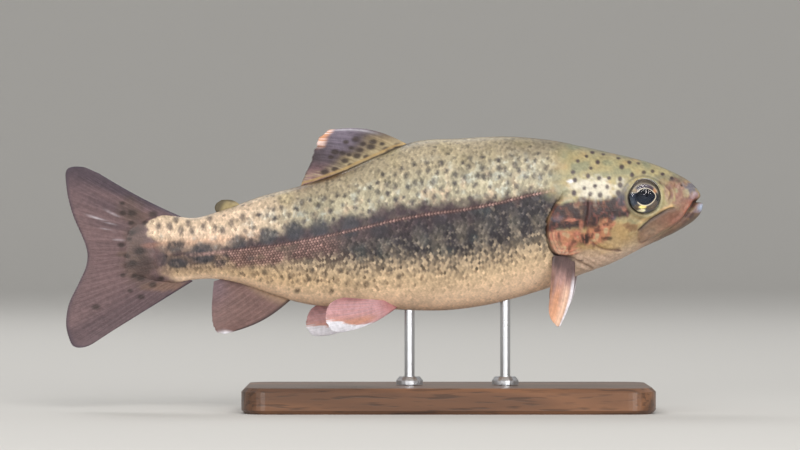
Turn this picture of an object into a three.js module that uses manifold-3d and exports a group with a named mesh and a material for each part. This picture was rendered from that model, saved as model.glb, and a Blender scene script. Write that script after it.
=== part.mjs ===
// A young rainbow trout, 200 mm from jaw to tail, swimming level on a plain display stand.
// Millimetres, +Z up. The head points along +X and the right flank faces -Y. The origin is
// on the underside of the stand, below the middle of the fish.
//
// The fish is shaped straight and level first, in its own frame: x runs along the body from
// the jaw tip to the tail, z up from the body axis. It is then given the sway of the tail,
// pitched nose up and lifted onto the rods.

import * as THREE from 'three';
import { ParametricGeometry } from 'three/addons/geometries/ParametricGeometry.js';
import { mergeVertices } from 'three/addons/utils/BufferGeometryUtils.js';
import Module from 'manifold-3d';

const wasm = await Module();
wasm.setup();

// ---------------------------------------------------------------- driving dimensions

const GAP = 0.3;                 // clearance between pieces that meet
const JAW_TIP_X = 100.3;         // foremost point of the closed mouth
const FLESH_END_X = -77;         // last flesh, inside the root of the tail fin
const TAIL_ROUND_X = -62;        // where the stalk starts to round off towards that end
const PITCH = THREE.MathUtils.degToRad(4);
const AXIS_HEIGHT = 56.4;        // body axis above the table, at x = 0
const SWAY = 4;                  // sideways reach of the tail tip, to the left side
const SWAY_START_X = 0;
const SWAY_LENGTH = 100;

// Outline of the body: [x, z] of the back and of the belly, and [x, half width].
const BACK_LINE = [
  [100.3, 1.5], [98, 7.4], [93, 11.3], [84, 15.7], [72, 19.6], [55, 24.2], [40, 26.5],
  [26, 26.9], [10, 26.6], [0, 23.4], [-12, 19.1], [-25, 15.6], [-38, 13.1], [-50, 9.7],
  [-60, 7.9], [-77, 7.9],
];
const BELLY_LINE = [
  [100.3, 1.5], [98, -2.9], [90, -7.3], [80, -11.2], [72, -14.6], [60, -18.2], [45, -22.4],
  [30, -25.2], [18, -25.9], [0, -24.4], [-15, -22.7], [-26, -20.9], [-35, -17.8],
  [-45, -13.5], [-53, -11.2], [-62, -10.9], [-77, -10.4],
];
const HALF_WIDTHS = [
  [100.3, 0], [98, 3.5], [94, 5.5], [88, 7.3], [82, 8.7], [72, 10.6], [60, 12.1], [45, 13.1],
  [28, 13.6], [10, 13.2], [-8, 11.9], [-25, 9.7], [-40, 7.3], [-52, 5.4], [-64, 4.1], [-77, 2.6],
];
// Roundness of the section: 2 is an ellipse, more is squarer, less is keeled.
const CROWN_FULLNESS = [[100.3, 2.0], [84, 2.35], [60, 2.2], [0, 2.1], [-77, 2.3]];
const KEEL_FULLNESS = [[100.3, 2.0], [84, 1.8], [62, 1.85], [30, 2.15], [0, 2.2], [-77, 2.2]];
const WIDEST_LEVEL = 0.47;       // height of the widest point, as a share of the depth

const AROUND = 26;               // facets round the body
const ALONG = 38;                // facets along it

// Head furniture.
const EYE_CENTRE = { x: 81.9, z: 5.2 };
const EYE_RADIUS = 5.6;
const EYE_DEPTH = 2.5;           // half thickness along the eye's own axis
const EYE_SUNK = 0.95;           // its middle below the skin
const EYE_TURN = THREE.MathUtils.degToRad(12);
// Closing line of the mouth, from the tip to the corner and down to the throat.
const MOUTH_LINE = [
  [101.5, 0.9], [99.6, 1.8], [98.1, 1.7], [96.6, 0.5], [94.2, -1.2], [90.9, -2.9], [86.7, -5.5],
  [82.7, -8.7], [79.1, -10.5], [76.9, -13.2], [75.9, -19],
];
const LIP_RISE = 7;            // how far the upper lip curls up at its very tip
// Back edge of the head, from the nape down under the gill cover to the throat.
const NAPE_LINE = [
  [62.5, 28], [59.6, 16.6], [57, 9], [56, 2], [56.6, -6], [59, -12], [63, -17], [65, -24],
];
// Upper jaw bone: a long paddle that lies over the corner of the mouth.
const JAW_PADDLE = [
  [93.8, 1.7], [89.8, 0.5], [86.3, -0.6], [82.8, -2.5], [79.7, -5], [78.6, -7.2], [79.4, -9],
  [81.4, -9.3], [83.8, -8.3], [87.6, -6.2], [91.8, -3.4], [94.2, -0.7],
];
const GILL_COVER = [
  [56.1, 5.9], [60, 6.5], [63.7, 5.6], [63.6, 2], [62.7, -2.5], [63.1, -6.6], [64.1, -9.6],
  [58.7, -11.8], [53.1, -11.3], [51, -8], [50.4, -4.6], [50.9, -0.8], [53.1, 3.6],
];

const PLATE_INNER_Y = 2;         // the plates of the head stay this far from the middle plane

const TAIL_CUT_X = -53;          // trunk ends and the stalk of the tail begins

// Stand.
const BASE = { length: 128, width: 62, height: 8, corner: 9, edge: 1.2, x: 20 };
const ROD = { radius: 1.6, places: { rear: 8, front: 38 }, intoBody: 7, intoBase: 5 };
const COLLAR = { radius: 4.2, height: 2.4 };

// ---------------------------------------------------------------- curves of the body

// Smooth curve through knots. It runs by the square root of the distance from the jaw tip,
// so that outlines leave the tip as round as the end of an egg.
function reach(x) {
  return Math.sqrt(Math.max(JAW_TIP_X - x, 0));
}

function curveThrough(knots) {
  const at = knots.map(([x]) => reach(x));
  const value = knots.map(([, v]) => v);
  const last = at.length - 1;
  const rise = (i) => (value[i + 1] - value[i]) / (at[i + 1] - at[i]);
  const slope = at.map((_, i) => {
    if (i === 0) return rise(0);
    if (i === last) return rise(last - 1);
    const before = at[i] - at[i - 1];
    const after = at[i + 1] - at[i];
    return (rise(i - 1) * after + rise(i) * before) / (before + after);
  });
  return (x) => {
    const q = reach(x);
    let i = 0;
    while (i < last - 1 && q > at[i + 1]) i += 1;
    const span = at[i + 1] - at[i];
    const t = THREE.MathUtils.clamp((q - at[i]) / span, 0, 1);
    const t2 = t * t;
    const t3 = t2 * t;
    return value[i] * (2 * t3 - 3 * t2 + 1) + slope[i] * span * (t3 - 2 * t2 + t)
      + value[i + 1] * (3 * t2 - 2 * t3) + slope[i + 1] * span * (t3 - t2);
  };
}

const back = curveThrough(BACK_LINE);
const belly = curveThrough(BELLY_LINE);
const halfWidth = curveThrough(HALF_WIDTHS);
const crownFullness = curveThrough(CROWN_FULLNESS);
const keelFullness = curveThrough(KEEL_FULLNESS);

// The stalk closes in a rounded paddle that the rays of the tail grow from.
function flesh(x) {
  const past = THREE.MathUtils.clamp((TAIL_ROUND_X - x) / (TAIL_ROUND_X - FLESH_END_X), 0, 1);
  return Math.sqrt(1 - past * past);
}

function signedPower(value, power) {
  const size = Math.abs(value);
  return size < 1e-9 ? 0 : Math.sign(value) * size ** power;
}

// Point of the skin at x, with angle 0 on the back, a quarter turn on the right flank.
// `grow` moves it outwards; it fades out at the jaw tip and at the end of the flesh.
function skinPoint(x, angle, grow = 0) {
  const full = flesh(x);
  const swell = grow * Math.min(1, reach(x)) * Math.min(1, full * 2);
  const top = back(x);
  const bottom = belly(x);
  const level = bottom + (top - bottom) * WIDEST_LEVEL;
  const up = Math.cos(angle) >= 0;
  const power = 2 / (up ? crownFullness(x) : keelFullness(x));
  const rise = (up ? top - level : level - bottom) * full + swell;
  const half = halfWidth(x) * full + swell;
  return new THREE.Vector3(
    x,
    -half * signedPower(Math.sin(angle), power),
    level + rise * signedPower(Math.cos(angle), power),
  );
}

// Half width of the body at a height z of the section at x.
function halfWidthAt(x, z) {
  let low = 0;
  let high = Math.PI;
  for (let step = 0; step < 30; step += 1) {
    const middle = (low + high) / 2;
    if (skinPoint(x, middle).z > z) low = middle;
    else high = middle;
  }
  return -skinPoint(x, low).y;
}

// ---------------------------------------------------------------- solids

// Six times the volume inside a closed mesh, negative where its faces point inwards.
function windingVolume(position, faces) {
  const corner = (i) => new THREE.Vector3().fromBufferAttribute(position, i);
  return faces.reduce((sum, [a, b, c]) => sum + corner(a).dot(corner(b).cross(corner(c))), 0);
}

function toSolid(geometry) {
  const bare = geometry.clone();
  bare.deleteAttribute('normal');
  bare.deleteAttribute('uv');
  const merged = mergeVertices(bare, 1e-4);
  const { position } = merged.attributes;
  const source = merged.index.array;
  let faces = [];
  for (let i = 0; i < source.length; i += 3) {
    const [a, b, c] = [source[i], source[i + 1], source[i + 2]];
    if (a !== b && b !== c && c !== a) faces.push([a, b, c]);
  }
  if (windingVolume(position, faces) < 0) faces = faces.map(([a, b, c]) => [a, c, b]);
  return new wasm.Manifold(new wasm.Mesh({
    numProp: 3,
    vertProperties: Float32Array.from(position.array),
    triVerts: Uint32Array.from(faces.flat()),
  }));
}

function toGeometry(solid) {
  const mesh = solid.getMesh();
  const geometry = new THREE.BufferGeometry();
  geometry.setAttribute('position', new THREE.BufferAttribute(mesh.vertProperties, 3));
  geometry.setIndex(new THREE.BufferAttribute(mesh.triVerts, 1));
  return geometry;
}

// Sections stand close together on the face and round the end of the stalk.
function sectionX(share) {
  const stalkShare = 0.86;
  if (share < stalkShare) {
    return JAW_TIP_X - (JAW_TIP_X - TAIL_ROUND_X) * (share / stalkShare) ** 1.45;
  }
  const turn = ((share - stalkShare) / (1 - stalkShare)) * (Math.PI / 2);
  return TAIL_ROUND_X - (TAIL_ROUND_X - FLESH_END_X) * Math.sin(turn);
}

// The whole body as one closed solid, grown outwards by grow(x).
function bodySolid(grow = () => 0) {
  return toSolid(new ParametricGeometry((u, v, target) => {
    const x = sectionX(v);
    target.copy(skinPoint(x, u * Math.PI * 2, grow(x)));
  }, AROUND, ALONG));
}

// A prism across the body, from side to side, over an outline drawn in x and z.
function prism(outline, from = -40, to = 40) {
  const shape = new THREE.Shape(outline.map(([x, z]) => new THREE.Vector2(x, z)));
  const geometry = new THREE.ExtrudeGeometry(shape, { depth: to - from, bevelEnabled: false });
  geometry.rotateX(Math.PI / 2);
  geometry.translate(0, to, 0);
  return toSolid(geometry);
}

function roundOutline(points, count) {
  const knots = points.map(([x, z]) => new THREE.Vector3(x, z, 0));
  return new THREE.CatmullRomCurve3(knots, true).getPoints(count).slice(0, count)
    .map((p) => [p.x, p.y]);
}

function smoothLine(points, count) {
  const knots = points.map(([x, z]) => new THREE.Vector3(x, z, 0));
  return new THREE.CatmullRomCurve3(knots).getPoints(count).map((p) => [p.x, p.y]);
}

// An outline moved outwards by a distance, point by point.
function widen(outline, distance) {
  const count = outline.length;
  const area = outline.reduce((sum, [x, z], i) => {
    const [nextX, nextZ] = outline[(i + 1) % count];
    return sum + x * nextZ - nextX * z;
  }, 0);
  const side = Math.sign(area) * distance;
  return outline.map(([x, z], i) => {
    const [beforeX, beforeZ] = outline[(i + count - 1) % count];
    const [afterX, afterZ] = outline[(i + 1) % count];
    const length = Math.hypot(afterX - beforeX, afterZ - beforeZ);
    return [x + (side * (afterZ - beforeZ)) / length, z - (side * (afterX - beforeX)) / length];
  });
}

// A thin bone lying on the skin: its outline, how proud it stands and how deep it is let in.
// The recess is the pocket that the pieces under it need.
function plate(outline, proud, depth, side) {
  const [from, to] = side < 0 ? [-40, -PLATE_INNER_Y] : [PLATE_INNER_Y, 40];
  const bone = prism(outline, from, to)
    .intersect(bodySolid(proud).subtract(bodySolid(() => -depth)));
  const recess = prism(widen(outline, GAP), from, to)
    .subtract(bodySolid(() => -depth - GAP));
  return { bone, recess };
}

function eyeball(side, extra) {
  const { x, z } = EYE_CENTRE;
  const geometry = new THREE.SphereGeometry(1, 16, 10);
  geometry.rotateX(Math.PI / 2);
  geometry.scale(EYE_RADIUS + extra, EYE_DEPTH + extra, EYE_RADIUS + extra);
  geometry.rotateZ(-side * EYE_TURN);
  geometry.translate(x, side * (halfWidthAt(x, z) - EYE_SUNK), z);
  return toSolid(geometry);
}

// A fin as a fan of rays. `base` runs along its root and `margin` along the tips of its
// rays, both from the leading ray to the last one, and `arch` bows the leading ray.
// The blade is a flat cushion that thins from `root` to `edge`.
function finSolid({ base, margin, arch, root, edge, around = 20, along = 7, place }) {
  const spline = (points) => new THREE.CatmullRomCurve3(
    points.map(([x, z]) => new THREE.Vector3(x, 0, z)),
  );
  const rootLine = spline(base);
  const tipLine = spline(margin);
  const flatness = 0.3;
  return toSolid(new ParametricGeometry((s, t, target) => {
    const turn = s * Math.PI * 2;
    const lift = (t - 0.5) * Math.PI;
    const across = (1 - Math.cos(turn)) / 2;
    const out = (1 + Math.sin(lift)) / 2;
    const foot = rootLine.getPoint(across);
    const tip = tipLine.getPoint(across);
    const ray = tip.clone().sub(foot);
    const sideways = new THREE.Vector3(ray.z, 0, -ray.x).normalize();
    const bow = arch * (1 - across) ** 1.5 * Math.sin(Math.PI * out);
    const thickness = root + (edge - root) * out ** 0.7;
    target.copy(foot).addScaledVector(ray, out).addScaledVector(sideways, bow);
    target.y = 0.5 * thickness * signedPower(Math.sin(turn), flatness)
      * signedPower(Math.cos(lift), flatness);
    if (place) target.applyMatrix4(place);
  }, around, along));
}

// Where a paired fin hangs: drooped in its own plane, swung out and leaned off the flank.
function hinge(side, root, { lean, swing, droop }) {
  const place = new THREE.Matrix4().makeTranslation(root.x, side * root.y, root.z);
  place.multiply(new THREE.Matrix4().makeRotationX(side * lean));
  place.multiply(new THREE.Matrix4().makeRotationZ(-side * swing));
  place.multiply(new THREE.Matrix4().makeRotationY(-droop));
  return place;
}

// ---------------------------------------------------------------- pieces of the fish

const body = bodySolid();
const bodyClear = bodySolid(() => GAP);

const mouth = smoothLine(MOUTH_LINE, 22);
const mouthUpper = mouth.map(([x, z], i) => {
  const tip = Math.max(0, 1 - i / 3);
  return [x - GAP * 0.3, z + GAP + LIP_RISE * tip * tip];
});
const jawRegion = prism([...mouth, [102, -19]]);
const jawClearance = prism([...mouthUpper, [76, -30], [110, -30], [110, 5]]);

const nape = smoothLine(NAPE_LINE, 14);
const headRegion = prism([...nape, [120, -24], [120, 28]]);
const behindNape = nape.map(([x, z]) => [x - GAP - 0.05, z]);
const trunkRegion = prism([...behindNape, [TAIL_CUT_X, -40], [TAIL_CUT_X, 40]]);
const stalkRegion = prism([
  [TAIL_CUT_X - GAP, -40], [TAIL_CUT_X - GAP, 40], [-90, 40], [-90, -40],
]);

const coverRise = (x) => 0.25 + 0.75 * THREE.MathUtils.smoothstep(-x, -64, -52);
const paddleRise = (x) => 0.3 + 0.35 * THREE.MathUtils.smoothstep(-x, -92, -82);

const solids = {};
const sides = { right: -1, left: 1 };
const underCover = {};

let head = body.intersect(headRegion).subtract(jawClearance);
let trunk = body.intersect(trunkRegion);
let jaw = body.intersect(jawRegion);

for (const [name, side] of Object.entries(sides)) {
  const cover = plate(roundOutline(GILL_COVER, 22), coverRise, 1.1, side);
  const paddle = plate(roundOutline(JAW_PADDLE, 18), paddleRise, 0.8, side);
  const socket = eyeball(side, GAP);
  solids[`gill_cover_${name}`] = cover.bone;
  underCover[name] = cover.recess;
  solids[`upper_jaw_${name}`] = paddle.bone;
  solids[`eye_${name}`] = eyeball(side, 0);
  head = head.subtract(cover.recess).subtract(paddle.recess).subtract(socket);
  jaw = jaw.subtract(paddle.recess);
  trunk = trunk.subtract(cover.recess);
}

// Fins on the middle line, and the pairs.
const FINS = {
  dorsal_fin: {
    base: [[10.6, 25.6], [-6, 19.4], [-21.5, 14.6]],
    margin: [[-15.6, 32.8], [-18.8, 30.6], [-20.4, 26.9], [-22, 22.6], [-24, 18.8], [-25.2, 15.9]],
    arch: 2.7, root: 1.8, edge: 0.7, around: 24,
  },
  adipose_fin: {
    base: [[-43.6, 10.2], [-49, 8.2]],
    margin: [[-50.2, 13.2], [-51.8, 12.3], [-52.5, 11], [-52.2, 9.7], [-51, 8.9]],
    arch: 1.1, root: 1.6, edge: 1, around: 14, along: 6,
  },
  anal_fin: {
    base: [[-29.4, -18.6], [-38.5, -14.6], [-47, -10]],
    margin: [[-52.4, -28.9], [-54.9, -28], [-55.9, -24.6], [-55.6, -19], [-54.5, -12.2]],
    arch: -1.9, root: 1.8, edge: 0.7,
  },
  tail_fin: {
    base: [[-62.4, 8.4], [-68, 4], [-69, -2], [-66, -8], [-61, -11.6]],
    margin: [[-88.4, 24.5], [-93.8, 27.1], [-97.8, 26.8], [-98.9, 21], [-97.4, 11.4],
      [-94.1, 2.2], [-93.7, -3], [-96.4, -9.5], [-99.8, -16.6], [-100.9, -23.4],
      [-99.2, -28.6], [-95.4, -29.6], [-88, -25.8]],
    arch: -0.6, root: 2.6, edge: 0.75, around: 36,
  },
};
const PELVIC = {
  base: [[1.6, -0.9], [-2.4, 1.6]],
  margin: [[-20.4, -7.6], [-24.6, -7], [-26.5, -4.8], [-25.2, -1.6], [-21.6, 1], [-18, 2.2]],
  arch: -1.3, root: 1.6, edge: 0.7, around: 18,
};
const PECTORAL = {
  base: [[4.2, 1.2], [0, 1.8], [-4.4, 1]],
  margin: [[-3.6, -21.6], [-5.4, -21.8], [-7, -19.6], [-7.4, -15.6], [-6.8, -11.4]],
  arch: -1.9, root: 1.8, edge: 0.75, around: 18,
};
const degrees = THREE.MathUtils.degToRad;
const PAIRED = {
  pelvic_fin_right: {
    fin: PELVIC, root: { x: 1, y: 4.6, z: -23.4 }, lean: 4, swing: 38, droop: 1,
  },
  pelvic_fin_left: {
    fin: PELVIC, root: { x: -0.4, y: 4.6, z: -23.4 }, lean: 4, swing: 3, droop: 2.5,
  },
  pectoral_fin_right: {
    fin: PECTORAL, root: { x: 55.4, y: 9, z: -13.4 }, lean: 17, swing: 36, droop: 0,
  },
  pectoral_fin_left: {
    fin: PECTORAL, root: { x: 56.8, y: 9, z: -13.4 }, lean: 22, swing: 36, droop: 0,
  },
};

for (const [name, fin] of Object.entries(FINS)) {
  solids[name] = finSolid(fin).subtract(bodyClear);
}
for (const [name, { fin, root, lean, swing, droop }] of Object.entries(PAIRED)) {
  const sideName = name.split('_').pop();
  const angles = { lean: degrees(lean), swing: degrees(swing), droop: degrees(droop) };
  solids[name] = finSolid({ ...fin, place: hinge(sides[sideName], root, angles) })
    .subtract(bodyClear)
    .subtract(underCover[sideName]);
}

// Rods stand upright, so their sockets are tilted in the pitched body.
const fishPlace = new THREE.Matrix4().makeTranslation(0, 0, AXIS_HEIGHT)
  .multiply(new THREE.Matrix4().makeRotationY(-PITCH));
const tableToFish = fishPlace.clone().invert();

function undersideAt(x) {
  const along = x / Math.cos(PITCH);
  return AXIS_HEIGHT + along * Math.sin(PITCH) + belly(along) * Math.cos(PITCH);
}

for (const x of Object.values(ROD.places)) {
  const socket = new THREE.CylinderGeometry(ROD.radius + GAP, ROD.radius + GAP, 40, 16);
  socket.rotateX(Math.PI / 2);
  socket.translate(x, 0, undersideAt(x) + ROD.intoBody + GAP - 20);
  trunk = trunk.subtract(toSolid(socket.applyMatrix4(tableToFish)));
}

solids.head = head;
solids.lower_jaw = jaw;
solids.trunk = trunk;
solids.tail_stalk = body.intersect(stalkRegion);

// ---------------------------------------------------------------- materials and placing

function finish(color, roughness, metalness = 0) {
  return new THREE.MeshStandardMaterial({ color, roughness, metalness });
}

const FISH_FINISH = {
  head: [0xa39a5c, 0.35],
  lower_jaw: [0xa88a66, 0.35],
  upper_jaw_right: [0xa07a50, 0.35],
  upper_jaw_left: [0xa07a50, 0.35],
  gill_cover_right: [0xa8674a, 0.35],
  gill_cover_left: [0xa8674a, 0.35],
  eye_right: [0x16202a, 0.05],
  eye_left: [0x16202a, 0.05],
  trunk: [0xb0a578, 0.4],
  tail_stalk: [0xb39a70, 0.4],
  dorsal_fin: [0x86777c, 0.45],
  adipose_fin: [0xa39455, 0.45],
  anal_fin: [0x936b62, 0.45],
  tail_fin: [0x7d666b, 0.45],
  pelvic_fin_right: [0xc08a86, 0.45],
  pelvic_fin_left: [0xc08a86, 0.45],
  pectoral_fin_right: [0xc98e66, 0.45],
  pectoral_fin_left: [0xc98e66, 0.45],
};

function sway(geometry) {
  const position = geometry.attributes.position;
  for (let i = 0; i < position.count; i += 1) {
    const past = Math.max(0, SWAY_START_X - position.getX(i)) / SWAY_LENGTH;
    position.setY(i, position.getY(i) + SWAY * past * past);
  }
  return geometry;
}

const fish = new THREE.Group();
fish.position.set(0, 0, AXIS_HEIGHT);
fish.rotation.y = -PITCH;
for (const [name, look] of Object.entries(FISH_FINISH)) {
  const mesh = new THREE.Mesh(sway(toGeometry(solids[name])), finish(...look));
  mesh.name = name;
  fish.add(mesh);
}

// ---------------------------------------------------------------- stand

function baseGeometry() {
  const { length, width, height, corner, edge } = BASE;
  const [right, top] = [length / 2 - edge, width / 2 - edge];
  const inner = corner - edge;
  const plan = new THREE.Shape();
  plan.moveTo(-right + inner, -top);
  plan.lineTo(right - inner, -top);
  plan.absarc(right - inner, -top + inner, inner, -Math.PI / 2, 0);
  plan.lineTo(right, top - inner);
  plan.absarc(right - inner, top - inner, inner, 0, Math.PI / 2);
  plan.lineTo(-right + inner, top);
  plan.absarc(-right + inner, top - inner, inner, Math.PI / 2, Math.PI);
  plan.lineTo(-right, -top + inner);
  plan.absarc(-right + inner, -top + inner, inner, Math.PI, Math.PI * 1.5);
  const slab = new THREE.ExtrudeGeometry(plan, {
    depth: height - 2 * edge,
    bevelThickness: edge,
    bevelSize: edge,
    bevelSegments: 1,
    curveSegments: 5,
  });
  slab.translate(BASE.x, 0, edge);
  let solid = toSolid(slab);
  for (const x of Object.values(ROD.places)) {
    const hole = new THREE.CylinderGeometry(ROD.radius + GAP, ROD.radius + GAP, height, 16);
    hole.rotateX(Math.PI / 2);
    hole.translate(x, 0, height * 1.5 - ROD.intoBase - GAP);
    solid = solid.subtract(toSolid(hole));
  }
  return toGeometry(solid);
}

function rodGeometry(x) {
  const foot = BASE.height - ROD.intoBase;
  const head = undersideAt(x) + ROD.intoBody;
  const bevel = 0.5;
  const profile = [
    [0, foot], [ROD.radius, foot], [ROD.radius, head - bevel], [ROD.radius - bevel, head], [0, head],
  ].map(([r, z]) => new THREE.Vector2(r, z));
  const rod = new THREE.LatheGeometry(profile, 16);
  rod.rotateX(Math.PI / 2);
  rod.translate(x, 0, 0);
  return toGeometry(toSolid(rod));
}

function collarGeometry(x) {
  const inner = ROD.radius + GAP;
  const foot = BASE.height + GAP;
  const head = foot + COLLAR.height;
  const profile = [
    [inner, foot], [COLLAR.radius, foot], [COLLAR.radius, head - 1.2],
    [COLLAR.radius - 1, head], [inner, head], [inner, foot],
  ].map(([r, z]) => new THREE.Vector2(r, z));
  const collar = new THREE.LatheGeometry(profile, 20);
  collar.rotateX(Math.PI / 2);
  collar.translate(x, 0, 0);
  return toGeometry(toSolid(collar));
}

const stand = new THREE.Group();
function addToStand(name, geometry, material) {
  const mesh = new THREE.Mesh(geometry, material);
  mesh.name = name;
  stand.add(mesh);
}
addToStand('stand_base', baseGeometry(), finish(0x4a2f1f, 0.45));
for (const [name, x] of Object.entries(ROD.places)) {
  addToStand(`stand_rod_${name}`, rodGeometry(x), finish(0xb9bcc0, 0.25, 1));
  addToStand(`stand_collar_${name}`, collarGeometry(x), finish(0xb9bcc0, 0.3, 1));
}

const model = new THREE.Group();
model.add(fish, stand);

export default model;
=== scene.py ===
import math

import bpy
import numpy as np
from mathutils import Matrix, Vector


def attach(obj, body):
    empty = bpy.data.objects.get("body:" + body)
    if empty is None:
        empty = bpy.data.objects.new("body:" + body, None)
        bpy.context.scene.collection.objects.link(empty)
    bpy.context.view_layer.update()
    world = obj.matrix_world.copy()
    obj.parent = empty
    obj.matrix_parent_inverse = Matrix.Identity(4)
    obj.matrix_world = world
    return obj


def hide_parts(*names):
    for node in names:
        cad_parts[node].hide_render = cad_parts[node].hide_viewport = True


# A young rainbow trout, 200 mm long, as a still museum model that swims level on a stand.
#
# The fish is worked out straight and level in millimetres: x runs along the body towards the
# jaw, z up from the body axis, and the right flank faces -y. place() then gives it the sway of
# the tail, pitches it nose up and lifts it onto the rods, in metres. Places on the flanks are
# also given by girth: the distance over the skin from the lateral line, upwards positive.

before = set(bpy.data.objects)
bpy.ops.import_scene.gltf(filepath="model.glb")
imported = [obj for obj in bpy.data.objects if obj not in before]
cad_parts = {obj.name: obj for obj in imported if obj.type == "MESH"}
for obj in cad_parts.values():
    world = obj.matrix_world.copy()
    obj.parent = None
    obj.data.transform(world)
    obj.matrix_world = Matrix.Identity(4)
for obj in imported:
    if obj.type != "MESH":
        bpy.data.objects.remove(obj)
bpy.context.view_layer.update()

# ---------------------------------------------------------------- sizes of the body, mm

JAW_TIP_X = 100.3
SKIN_END_X = -83.0
STALK_END_X = -62.0
PITCH = math.radians(4)
AXIS_HEIGHT = 56.4
SWAY = 4.0
SWAY_LENGTH = 100.0

BACK_LINE = [
    (100.3, 1.5), (98, 7.4), (93, 11.3), (84, 15.7), (72, 19.6), (55, 24.2), (40, 26.5),
    (26, 26.9), (10, 26.6), (0, 23.4), (-12, 19.1), (-25, 15.6), (-38, 13.1), (-50, 9.7),
    (-60, 7.9), (-66, 9.0), (-71, 9.7), (-76, 8.2), (-83, 5.0),
]
BELLY_LINE = [
    (100.3, 1.5), (98, -2.9), (90, -7.3), (80, -11.2), (72, -14.6), (60, -18.2), (45, -22.4),
    (30, -25.2), (18, -25.9), (0, -24.4), (-15, -22.7), (-26, -20.9), (-35, -17.8),
    (-45, -13.5), (-53, -11.2), (-62, -10.9), (-68, -11.6), (-74, -10.4), (-83, -7.0),
]
HALF_WIDTHS = [
    (100.3, 0), (98, 3.5), (94, 5.5), (88, 7.3), (82, 8.7), (72, 10.6), (60, 12.1), (45, 13.1),
    (28, 13.6), (10, 13.2), (-8, 11.9), (-25, 9.7), (-40, 7.3), (-52, 5.4), (-64, 3.9),
    (-70, 2.6), (-74, 1.5), (-78, 0.65), (-83, 0.06),
]
CROWN_FULLNESS = [(100.3, 2.0), (84, 2.35), (60, 2.2), (0, 2.1), (-77, 2.3)]
KEEL_FULLNESS = [(100.3, 2.0), (84, 1.8), (62, 1.85), (30, 2.15), (0, 2.2), (-77, 2.2)]
WIDEST_LEVEL = 0.47
LATERAL_LINE = [
    (100.3, 9.5), (62, 9.2), (55, 8.9), (45, 7.7), (35, 6.0), (25, 4.8), (15, 4.2), (5, 3.2),
    (-5, 1.6), (-15, 0), (-25, -1.4), (-35, -2.4), (-45, -2.9), (-60, -3.3), (-77, -2.9),
]

# Head.
EYE_X, EYE_Z = 81.9, 5.2
EYE_RADIUS = 5.6                 # of the ball, its rim hidden under the skin
EYE_DEPTH = 2.5
EYE_SUNK = 0.95
EYE_TURN = math.radians(12)
OPENING_X, OPENING_Z = 81.65, 4.5
OPENING_RADIUS = 4.95
MOUTH_LINE = [
    (101.5, 2.3), (99.6, 2.4), (98.2, 2.1), (97.0, 0.6), (95.6, -0.9), (94.3, -2.3),
    (92.6, -3.8), (89.5, -5.6), (86, -7.3), (82.7, -8.8), (80.1, -9.6),
]
UPPER_LIP = [(98.6, 3.0), (97.4, 2.2), (95.7, 1.0), (94.2, -0.6), (92.8, -2.0), (90.5, -3.4)]
JAW_PADDLE = [
    (92.5, 0.1), (89.1, 0.5), (86.1, -1.0), (83.6, -2.3), (81.2, -4.0), (79.6, -5.4),
    (79.0, -7.2), (79.3, -9.0), (80.4, -9.6), (83.5, -8.3), (87.5, -6.3), (91.5, -4.2),
    (94.0, -2.2),
]
JAW_CREASE = [(90.6, 0.6), (89.1, 0.5), (86.1, -1.0), (83.6, -2.3), (81.2, -4.0), (79.6, -5.4)]
JAW_LOOP = [(79.6, -5.2), (79.1, -6.8), (79.2, -8.8), (80.1, -9.5), (81.8, -8.6), (82.7, -7.0)]
CHEEK_RIDGE = [(90.2, 1.5), (87.2, 0.6), (84.9, -0.4), (81.7, -1.9), (79.4, -3.6)]
GILL_COVER = [
    (56.1, 5.9), (60, 6.5), (63.7, 5.6), (63.6, 2), (62.7, -2.5), (63.1, -6.6), (64.1, -9.6),
    (58.7, -11.8), (53.1, -11.3), (51, -8), (50.4, -4.6), (50.9, -0.8), (53.1, 3.6),
]
CHEEK_EDGE = [
    (64.5, 5.9), (64.3, 2.1), (63.3, -2.5), (63.6, -6.6), (65.7, -9.3), (68.7, -10.8),
    (72.8, -11.1),
]
GILL_SLIT = [
    (60.5, 8.6), (56.3, 7.2), (52.9, 4.4), (50.6, 0.5), (50.0, -4.7), (50.5, -8.3),
    (52.0, -10.9), (54.8, -11.9), (57.6, -12.6), (60.0, -14.2), (63.6, -16.2),
]
PURPLE_AREA = [
    (50.8, -2.6), (51.6, 1.8), (54.3, 4.6), (59.2, 5.9), (66, 5.9), (72, 6.0), (77.6, 5.4),
    (77.8, 0.4), (73, -1.4), (68.5, -1.2), (65.5, -3.2), (61, -4.2), (56, -3.0),
]
ORANGE_AREA = [
    (51.0, -4.0), (55, -3.0), (61, -3.9), (65.5, -3.0), (69.5, -0.9), (72.5, -2.6),
    (70.5, -6.8), (64, -9.0), (58.6, -9.6), (54, -8.4), (51.4, -6.4),
]
SNOUT_FOLD = [(89.3, 8.0), (90.0, 6.5), (90.2, 4.9), (89.5, 3.4)]
BROW_FOLD = [(87.2, 9.0), (88.2, 8.4), (89.2, 7.2)]
NOSTRIL_FLAP = (92.9, 7.6)

NAPE_LINE = [
    (62.5, 28), (59.6, 16.6), (57.4, 9), (54.4, 5.2), (51.0, 0.5), (50.4, -4.7), (50.9, -8.3),
    (52.6, -12), (54.6, -17), (56, -24),
]

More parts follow.
